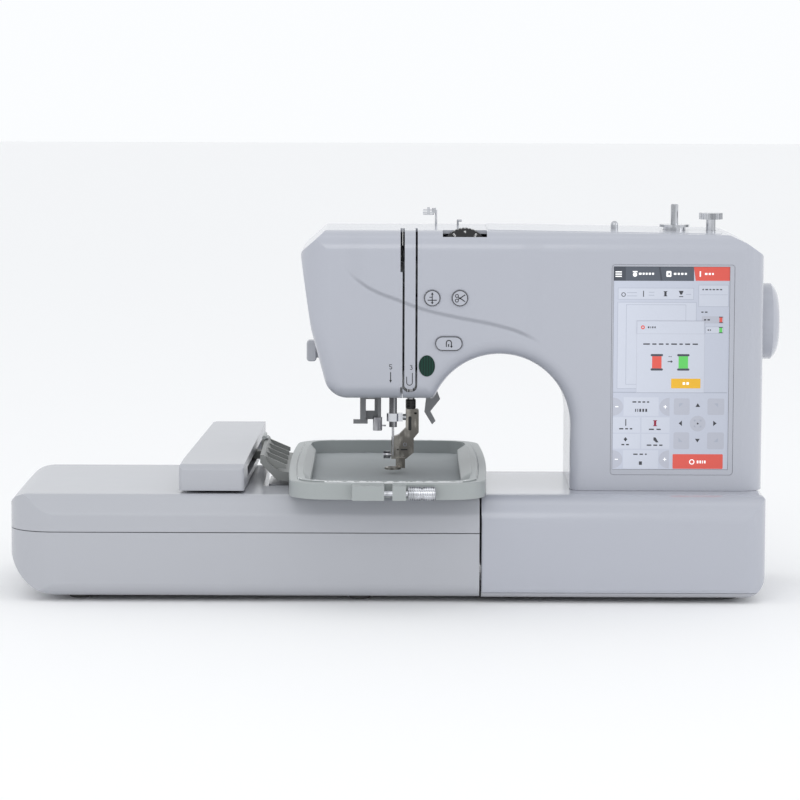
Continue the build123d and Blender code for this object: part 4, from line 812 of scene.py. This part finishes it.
def makeDisplayPage():
    pageLayer("page_back", [pageBox(0.2, 0.2, 99.8, 174.8)], "uiBack", 0.4)
    pageLayer("page_header", [pageBox(0.2, 0.2, 69, 12.3)], "uiHeader", 1)
    pageLayer("page_headerTabs", [
        pageBox(0.2, 0.2, 10.4, 12.3),
        pageShape([(38.6, 0.2), (40.2, 0.2), (42.0, 12.3), (40.4, 12.3)]),
    ], "uiHeaderDark", 2)
    pageLayer("page_headerTabRed", [pageShape([(68.7, 0.2), (99.8, 0.2), (99.8, 12.1), (70.5, 12.1)])],
        "uiRed", 2)
    whites = [pageBox(1.5, top, 7.0, top + 0.95) for top in (4.2, 6.1, 8.0)]
    whites += [pageCircle(18.3, 7.0, 1.8), pageBox(16.4, 3.9, 20.4, 5.0)]
    whites += [(pageRound(45.2, 3.8, 49.5, 8.8, 0.7), (pageCircle(47.6, 6.4, 0.9, 14),))]
    whites += dashes(21.6, 34.6, 6.2, 1.7, (1.4, 1, 1, 1.2, 1))
    whites += dashes(51.6, 62.8, 6.2, 1.7, (1.2, 1, 1.1, 1))
    whites += [pageBox(73.8, 3.9, 74.9, 8.6)] + dashes(78.3, 85.9, 6.2, 1.7, (1.2, 1, 0.8))
    pageLayer("page_headerSigns", whites, "uiWhite", 3)

    pageLayer("page_panels", [
        pageBox(3.8, 18.3, 69.0, 28.3), pageBox(3.6, 30.5, 71.4, 105.2), pageBox(73.0, 15.6, 99.0, 34.4),
        pageBox(79.4, 51.4, 94.8, 57.3),
        pageBox(9.6, 112.5, 39.8, 128.6), pageBox(0.4, 129.8, 24.0, 143.2), pageBox(25.2, 129.8, 49.4, 143.2),
        pageBox(0.4, 144.2, 24.0, 157.0), pageBox(25.2, 144.2, 49.4, 157.0), pageBox(9.6, 158.3, 39.8, 174.2),
    ], "uiPanel", 1)
    pageLayer("page_lines", [
        frameLine(3.8, 18.3, 69.0, 28.3), frameLine(3.6, 30.5, 71.4, 105.2),
        frameLine(11.0, 32.6, 62.5, 101.5),
        frameLine(73.0, 15.6, 99.0, 34.4), frameLine(79.4, 51.4, 94.8, 57.3),
        pageBox(74.0, 23.9, 98.0, 24.2), pageBox(0.4, 107.9, 98.5, 108.8),
    ], "uiLine", 1.6)
    pageLayer("page_tiles", [
        pageBox(76.2, 42.5, 94.8, 48.7), halfDisc(0.4, 120.7, 8.8, 7.8, 1),
        halfDisc(49.2, 120.7, 8.8, 7.8, -1),
        halfDisc(0.4, 166.2, 8.6, 7.8, 1), halfDisc(49.2, 166.2, 9.0, 7.8, -1),
        pageRound(52.9, 113.4, 66.5, 127.6, 1.6), pageRound(81.9, 113.4, 96.4, 127.6, 1.6),
        pageRound(52.9, 142.7, 66.5, 157.3, 1.6), pageRound(81.9, 142.7, 96.4, 157.3, 1.6),
        pageCircle(73.6, 135.1, 6.8, 36),
    ], "uiTile", 1.2)
    darks = [pageBox(25.4, 20.8, 26.1, 26.0), pageBox(11.2, 131.5, 12.0, 137.2)]
    darks += spoolSign(44.6, 23.3, 3.2, 4.4) + [spoolBody(44.6, 23.3, 2.4, 4.4)]
    darks += [(pageCircle(8.6, 24.1, 1.9, 20), (pageCircle(8.6, 24.1, 1.3, 20),))]
    darks += [pageShape([(56.0, 20.8), (60.2, 20.8), (58.8, 24.0), (57.4, 24.0)]),
        pageBox(56.4, 25.4, 59.8, 26.1)]
    darks += dashes(78.8, 93.2, 19.6, 1.0, (1.2, 0.8, 1, 1, 0.9)) + [pageCircle(76.9, 19.6, 0.7, 12)]
    darks += dashes(75.6, 80.9, 39.0, 1.0, (1, 1.2)) + dashes(78.0, 83.0, 45.6, 1.2, (1, 1.1))
    darks += dashes(81.2, 84.0, 54.4, 1.2, (1, 0.8))
    darks += dashes(29.8, 36.5, 52.2, 1.5, (1, 0.5, 0.9, 0.8))
    darks += dashes(26.0, 73.0, 66.6, 1.15, (1.6, 1, 1.1, 0.7, 1.4, 0.8, 1.2, 1.3))
    darks += [pageBox(47.1, 81.3, 50.2, 82.0), pageShape([(49.8, 80.4), (51.6, 81.65), (49.8, 82.9)])]
    darks += [pageBox(48.0, 77.0, 48.8, 77.8), pageBox(49.6, 77.0, 50.4, 77.8)]
    darks += dashes(17.2, 31.6, 116.6, 1.1, (1.4, 1, 1, 0.8)) + dashes(19.6, 29.9, 123.8, 2.6,
        (0.5, 0.4, 0.9, 0.9, 0.9))
    darks += dashes(6.0, 17.2, 139.8, 1.1, (1.4, 1, 0.8)) + dashes(31.6, 41.8, 140.2, 1.1, (1.2, 1))
    darks += dashes(8.1, 14.5, 153.5, 1.1, (1, 1)) + dashes(29.9, 43.5, 153.9, 1.1, (1.4, 1.2, 1))
    darks += [pageShape([(11.5, 147.0), (13.1, 148.9), (11.5, 150.8), (9.9, 148.9)])]
    darks += [pageShape([(35.6, 147.2), (37.4, 147.2), (40.0, 151.4), (38.2, 151.6), (35.6, 149.6)])]
    darks += dashes(18.3, 29.9, 161.8, 1.1, (1.3, 1, 0.5)) + [pageBox(23.3, 168.0, 25.9, 171.0)]
    darks += [
        pageShape([(71.5, 120.7), (73.5, 117.5), (75.6, 120.7)]),
        pageShape([(71.5, 148.3), (75.6, 148.3), (73.5, 151.4)]),
        pageShape([(57.2, 134.9), (60.0, 132.6), (60.0, 137.2)]),
        pageShape([(89.9, 134.9), (87.0, 132.6), (87.0, 137.2)]),
        pageCircle(73.6, 135.1, 0.8, 14),
    ]
    pageLayer("page_signs", darks, "uiDark", 2.6)
    marks = [pageBox(0.4 + x, y, 3.2 + x, y + 0.7) for x, y in ((2.0, 120.4), (2.0, 165.9))]
    marks += [pageBox(44.0, y, 47.0, y + 0.6) for y in (120.4, 165.9)]
    marks += [pageBox(45.2, y - 1.2, 45.8, y + 1.8) for y in (120.4, 165.9)]
    pageLayer("page_paleSigns", marks, "uiWhite", 2)
    lines = [pageBox(11.6, y, 20.2, y + 0.5) for y in (22.2, 25.0)] + [pageBox(30.3, y, 35.1,
        y + 0.5) for y in (21.8, 24.4)]
    lines += [pageBox(62.3, 23.6, 66.6, 24.1)]
    lines += [
        pageShape([(57.4, 117.6), (61.0, 117.6), (57.4, 120.9)]),
        pageShape([(91.0, 117.6), (91.0, 120.9), (87.6, 117.6)]),
        pageShape([(57.2, 151.0), (57.2, 147.6), (60.8, 151.0)]),
        pageShape([(91.2, 151.0), (87.6, 151.0), (91.2, 147.6)]),
    ]
    for sx in (-1, 1):
        for sy in (-1, 1):
            lines.append(pageBox(*orderedBox(73.6 + sx * 1.5, 73.6 + sx * 3.1, 135.1 + sy * 2.5,
                135.1 + sy * 3.1)))
            lines.append(pageBox(*orderedBox(73.6 + sx * 2.5, 73.6 + sx * 3.1, 135.1 + sy * 1.5,
                135.1 + sy * 3.1)))
    pageLayer("page_greySigns", lines, "uiLine", 2.4)

    pageLayer("page_dialog", [pageBox(20.2, 46.5, 78.8, 108.4)], "uiPanel", 2)
    pageLayer("page_dialogHead", [frameLine(20.2, 46.5, 78.8, 57.9, 0.3),
        frameLine(20.2, 46.5, 78.8, 108.4, 0.25)],
              "uiTile", 2.4)
    pageLayer("page_reds", [
        spoolBody(37.8, 82.3, 10.2, 13.7), pageBox(91.2, 43.4, 93.8, 47.8),
        pageRound(52.3, 161.6, 95.6, 174.3, 0.8),
        (pageCircle(25.5, 52.2, 1.7, 22), (pageCircle(25.5, 52.2, 0.75, 14),)),
    ], "uiRed", 2.8)
    pageLayer("page_greens", [spoolBody(60.6, 82.3, 10.2, 13.7), pageBox(91.2, 52.2, 93.8, 56.5)],
        "uiGreen", 2.8)
    pageLayer("page_wine", spoolSign(36.9, 134.9, 3.4, 5.2) + [spoolBody(36.9, 134.9, 2.6, 5.2)], "uiWine",
        2.8)
    pageLayer("page_yellow", [pageRound(50.3, 96.3, 75.6, 104.7, 0.7)], "uiYellow", 2.8)
    rims = spoolSign(37.8, 82.3, 10.6, 14.2) + spoolSign(60.6, 82.3, 10.6, 14.2)
    rims += spoolSign(92.5, 45.6, 3.4, 5.4) + spoolSign(92.5, 54.4, 3.4, 5.2)
    pageLayer("page_spoolRims", rims, "uiHeaderDark", 3.2)
    shines = dashes(60.3, 65.6, 100.5, 2.2, (1, 1)) + dashes(73.2, 80.8, 168.3, 2.4, (1, 0.9, 0.5, 0.9))
    shines += [(pageCircle(68.9, 168.3, 2.3, 24), (pageCircle(68.9, 168.3, 1.5, 20),))]
    pageLayer("page_buttonSigns", shines, "uiWhite", 3.4)
    print("display page made")


def orderedBox(x1, x2, y1, y2):
    return min(x1, x2), min(y1, y2), max(x1, x2), max(y1, y2)


makeDisplayPage()


hoop = {
    "x": -9.5,
    "y": -20.0,
    "halfWidth": 75.0,
    "halfLength": 139.0,
    "bow": 4.0,                 # how far each side swells
    "corner": 26.0,
    "ringInset": 6.33,          # between outer and inner ring
    "fieldInset": 11.05,        # inside the inner ring
    "fieldZ": 85.15,
    "wingReach": 106.0,         # the wings end this far from the middle
    "leftWingLine": 57.4,       # straight inner edge of each wing, from the middle, clear of the foot
    "rightWingLine": 54.8,
    "wingTop": 97.2,
    "clothThick": 0.4,
}


def bowedSide(half, bow, along):
    # how far out a swelling side stands at this place, with 0 in its middle
    return half - bow * along * along


def hoopOutline(inset, perSide=28):
    # bowed rectangle with round corners, anticlockwise, in machine millimetres
    wide = hoop["halfWidth"] - inset
    tall = hoop["halfLength"] - inset
    corner = hoop["corner"] - inset
    points = []
    for quarter in range(4):
        side, end = (wide, tall) if quarter % 2 == 0 else (tall, wide)
        limit = (end - hoop["bow"] - corner) / (end - hoop["bow"])
        rows = []
        for k in range(perSide):
            along = -limit + 2 * limit * k / (perSide - 1)
            rows.append((bowedSide(side, hoop["bow"], along), along * (end - hoop["bow"])))
        last = rows[-1]
        for k in range(1, 9):
            angle = math.radians(90 * k / 9)
            rows.append((last[0] - corner * (1 - math.cos(angle)), last[1] + corner * math.sin(angle)))
        for across, up in rows:
            for _ in range(quarter):
                across, up = -up, across
            points.append((across, up))
    return [(hoop["x"] + x, hoop["y"] + y) for x, y in points]


def meshPiece(name, verts, faces, material, node, smooth=35):
    bm = bmesh.new()
    made = [bm.verts.new(((x + shift) * mm, y * mm, z * mm)) for x, y, z in verts]
    for face in faces:
        bm.faces.new([made[i] for i in face])
    bmesh.ops.recalc_face_normals(bm, faces=bm.faces)
    data = bpy.data.meshes.new(name)
    bm.to_mesh(data)
    bm.free()
    item = bpy.data.objects.new(name, data)
    bpy.context.scene.collection.objects.link(item)
    deselectAll()
    item.select_set(True)
    bpy.context.view_layer.objects.active = item
    bpy.ops.object.shade_smooth_by_angle(angle=math.radians(smooth))
    return finishPiece(item, name, material, node=node)


def loft(rows, closedRows=True, caps=True):
    # faces that join rows of equally many points
    count = len(rows[0])
    faces = []
    last = len(rows) if not closedRows else len(rows) - 1
    for r in range(last):
        nextRow = (r + 1) % len(rows)
        for k in range(count):
            j = (k + 1) % count
            faces.append((r * count + k, r * count + j, nextRow * count + j, nextRow * count + k))
    if caps and closedRows:
        faces.append(tuple(range(count)))
        faces.append(tuple((len(rows) - 1) * count + k for k in range(count)))
    return [p for row in rows for p in row], faces


def makeWings():
    # crescent ledges inside the inner ring, at its two long sides
    wide = hoop["halfWidth"] - hoop["fieldInset"] + 0.4
    tall = hoop["halfLength"] - hoop["fieldInset"] - hoop["bow"]
    for side, name in ((-1, "hoopWing_left"), (1, "hoopWing_right")):
        rows = []
        line = hoop["leftWingLine"] if side < 0 else hoop["rightWingLine"]
        for k in range(33):
            t = -1 + k / 16
            y = hoop["y"] + t * hoop["wingReach"]
            outer = bowedSide(wide, hoop["bow"], t * hoop["wingReach"] / tall)
            inner = min(line, outer - 1.2)
            high = hoop["wingTop"] - 1.8 * (1 - t * t) - max(0, abs(t) - 0.86) * 38
            section = [
                (outer, 85.6), (outer, high - 0.4), (outer - 0.5, high), (inner + 1.0, high - 3.6),
                (inner, high - 4.6),
                (inner, 85.6),
            ]
            rows.append([(hoop["x"] + side * across, y, z) for across, z in section])
        verts, faces = loft(rows)
        meshPiece(name, verts, faces, "hoop", "hoop_inner")


def makeCloth():
    # one sheet over the whole field, with faint pulls towards the rim and a slight sag in the middle
    rim = hoopOutline(hoop["fieldInset"] + 0.35)
    rings = 14
    layers = []
    for r in range(rings + 1):
        share = 1 - r / (rings + 0.5)
        row = []
        for k, (x, y) in enumerate(rim):
            across = hoop["x"] + (x - hoop["x"]) * share
            along = hoop["y"] + (y - hoop["y"]) * share
            pull = 0.10 * math.sin(k * 1.31) * math.sin(k * 0.37 + 1.1) * share ** 3
            row.append((across, along, hoop["fieldZ"] + pull - 0.22 * (1 - share ** 2)))
        layers.append(row)
    half = hoop["clothThick"] / 2
    count = len(rim)
    verts = [(x, y, z + half) for row in layers for x, y, z in row]
    verts += [(x, y, z - half) for row in layers for x, y, z in row]
    under = count * (rings + 1)
    faces = []
    for r in range(rings):
        for k in range(count):
            j = (k + 1) % count
            quad = (r * count + k, r * count + j, (r + 1) * count + j, (r + 1) * count + k)
            faces.append(quad)
            faces.append(tuple(i + under for i in quad[::-1]))
    for k in range(count):
        j = (k + 1) % count
        faces.append((k, k + under, j + under, j))
    faces.append(tuple(rings * count + k for k in range(count)))
    faces.append(tuple(under + rings * count + k for k in range(count))[::-1])
    cloth = meshPiece("hoopedCloth", verts, faces, "cloth", "hooped_fabric", 80)
    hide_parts("hooped_fabric")
    edge = makeClothEdge()


def makeClothEdge():
    # trimmed edge of the cloth that stands up a little where the two rings grip it
    rim = hoopOutline(hoop["ringInset"], 60)
    rows = []
    for k, (x, y) in enumerate(rim):
        ragged = 0.4 * math.sin(k * 2.17) * math.sin(k * 0.83 + 0.4) + 0.3 * math.sin(k * 5.3)
        reach = 1.0 if y < hoop["y"] + 60 else 0.25        # the far side is trimmed shorter
        high = 95.2 + max(-0.5, ragged) * reach
        outX = hoop["x"] + (x - hoop["x"]) * 1.0025
        outY = hoop["y"] + (y - hoop["y"]) * 1.0015
        rows.append([(x, y, 93.8), (x, y, high), (outX, outY, high - 0.1), (outX, outY, 93.8)])
    verts, faces = loft(rows, closedRows=False)
    return meshPiece("hoopedClothEdge", verts, faces, "clothEdge", "hooped_fabric", 60)


hoopScrew = {"left": 5.6, "right": 26.0, "y": -163.9, "z": 87.8, "radius": 4.75, "diamonds": 22,
    "stations": 36}


def makeKnurl(name, spec, node, axis, material):
    # a knurled sleeve: small diamonds stand up all round
    rows = []
    steps = spec["stations"]
    around = spec["diamonds"] * 3
    for s in range(steps + 1):
        along = spec["left"] + (spec["right"] - spec["left"]) * s / steps
        edge = min(s, steps - s)
        groove = 0.5 if abs(s - steps / 2) <= 1 and spec.get("groove") else 0
        row = []
        for k in range(around):
            ridge = 0.22 if (k + s) % 3 == 0 or (k - s) % 3 == 0 else -0.12
            radius = spec["radius"] + ridge - (0.5 if edge == 0 else 0) - groove
            angle = 2 * math.pi * k / around
            if axis == "X":
                row.append((along, spec["y"] + radius * math.cos(angle),
                    spec["z"] + radius * math.sin(angle)))
            else:
                row.append((spec["x"] + radius * math.cos(angle), spec["y"] + radius * math.sin(angle),
                    along))
        rows.append(row)
    verts, faces = loft(rows)
    return meshPiece(name, verts, faces, material, node, 20)


makeWings()
makeCloth()
makeKnurl("hoopScrewKnurl", dict(hoopScrew, groove=True), "hoop_screw", "X", "chrome")
print("hoop dressed")

collar = {"left": 134.2, "right": 141.5, "x": 8.0, "y": -14.0, "radius": 3.75, "diamonds": 12, "stations": 10}
footFace = -17.4

dial = {"x": 47.8, "z": 259.7, "radius": 17.0, "front": -78.0,
    "numbers": [(3, -34), (4, 0), (5, 34), (6, 68), (2, -68)]}


def makeFootDetails():
    makeKnurl("presserCollar", collar, "presser_bar", "Z", "black")
    # black plates over the foot's slots: painted shade where the openings look dark
    flatPlates([
        (roundedRectangle(6.2, 117.5, 8.6, 128.5, 1.1, 6), ()),
        (roundedRectangle(6.4, 104.0, 8.2, 113.0, 0.9, 6), ()),
        (roundedRectangle(-2.6, 102.2, 5.6, 103.2, 0.4, 4), ()),
    ], 0.12, footFace - 0.06, "footSlotShade", "black", "presser_foot")
    flatPlates([
        (rectangle(-6.2, 97.0, -4.9, 111.4), ()), (rectangle(-1.2, 97.0, 0.4, 111.0), ()),
        (rectangle(10.8, 118.0, 12.6, 131.5), ()), (rectangle(4.9, 130.2, 12.8, 131.6), ()),
    ], 0.5, footFace - 0.45, "footRibs", "footMetal", "presser_foot")
    flatPlates([(circle(3.6, 106.6, 1.5, 20), (circle(3.6, 106.6, 0.8, 16),))], 0.5, footFace - 0.45,
               "footRivet", "steel", "presser_foot")


def makeDialNumbers():
    # the numbers on the tension dial's rim, as they pass the window
    radius = dial["radius"] - 0.2
    for value, turn in dial["numbers"]:
        angle = math.radians(turn)
        x = dial["x"] + math.sin(angle) * (radius - 2.6)
        z = dial["z"] + math.cos(angle) * (radius - 2.6)
        strokes = digitStrokes(value, x, z, 2.6, angle)
        flatPlates([(o, ()) for o in strokes], 0.10, dial["front"] - 0.08, "dialNumber_" + str(value),
            "paleMark",
                   "tension_dial")


def digitStrokes(value, cx, cz, size, lean):
    # seven-segment style digit as separate bars
    wide, tall, thick = size * 0.55, size, size * 0.17
    bars = {
        "top": (-wide / 2, tall / 2 - thick, wide / 2, tall / 2),
        "mid": (-wide / 2, -thick / 2, wide / 2, thick / 2),
        "low": (-wide / 2, -tall / 2, wide / 2, -tall / 2 + thick),
        "upLeft": (-wide / 2, thick / 2, -wide / 2 + thick, tall / 2 - thick),
        "upRight": (wide / 2 - thick, thick / 2, wide / 2, tall / 2 - thick),
        "lowLeft": (-wide / 2, -tall / 2 + thick, -wide / 2 + thick, -thick / 2),
        "lowRight": (wide / 2 - thick, -tall / 2 + thick, wide / 2, -thick / 2),
    }
    lit = {
        3: ("top", "mid", "low", "upRight", "lowRight"),
        4: ("mid", "upLeft", "upRight", "lowRight"),
        5: ("top", "mid", "low", "upLeft", "lowRight"),
        6: ("top", "mid", "low", "upLeft", "lowLeft", "lowRight"),
        2: ("top", "mid", "low", "upRight", "lowLeft"),
    }[value]
    shapes = []
    for bar in lit:
        left, low, right, high = bars[bar]
        shapes.append([
            (cx + x * math.cos(lean) + z * math.sin(lean), cz - x * math.sin(lean) + z * math.cos(lean))
            for x, z in rectangle(left, low, right, high)
        ])
    return shapes


makeFootDetails()
makeDialNumbers()
print("foot and dial dressed")
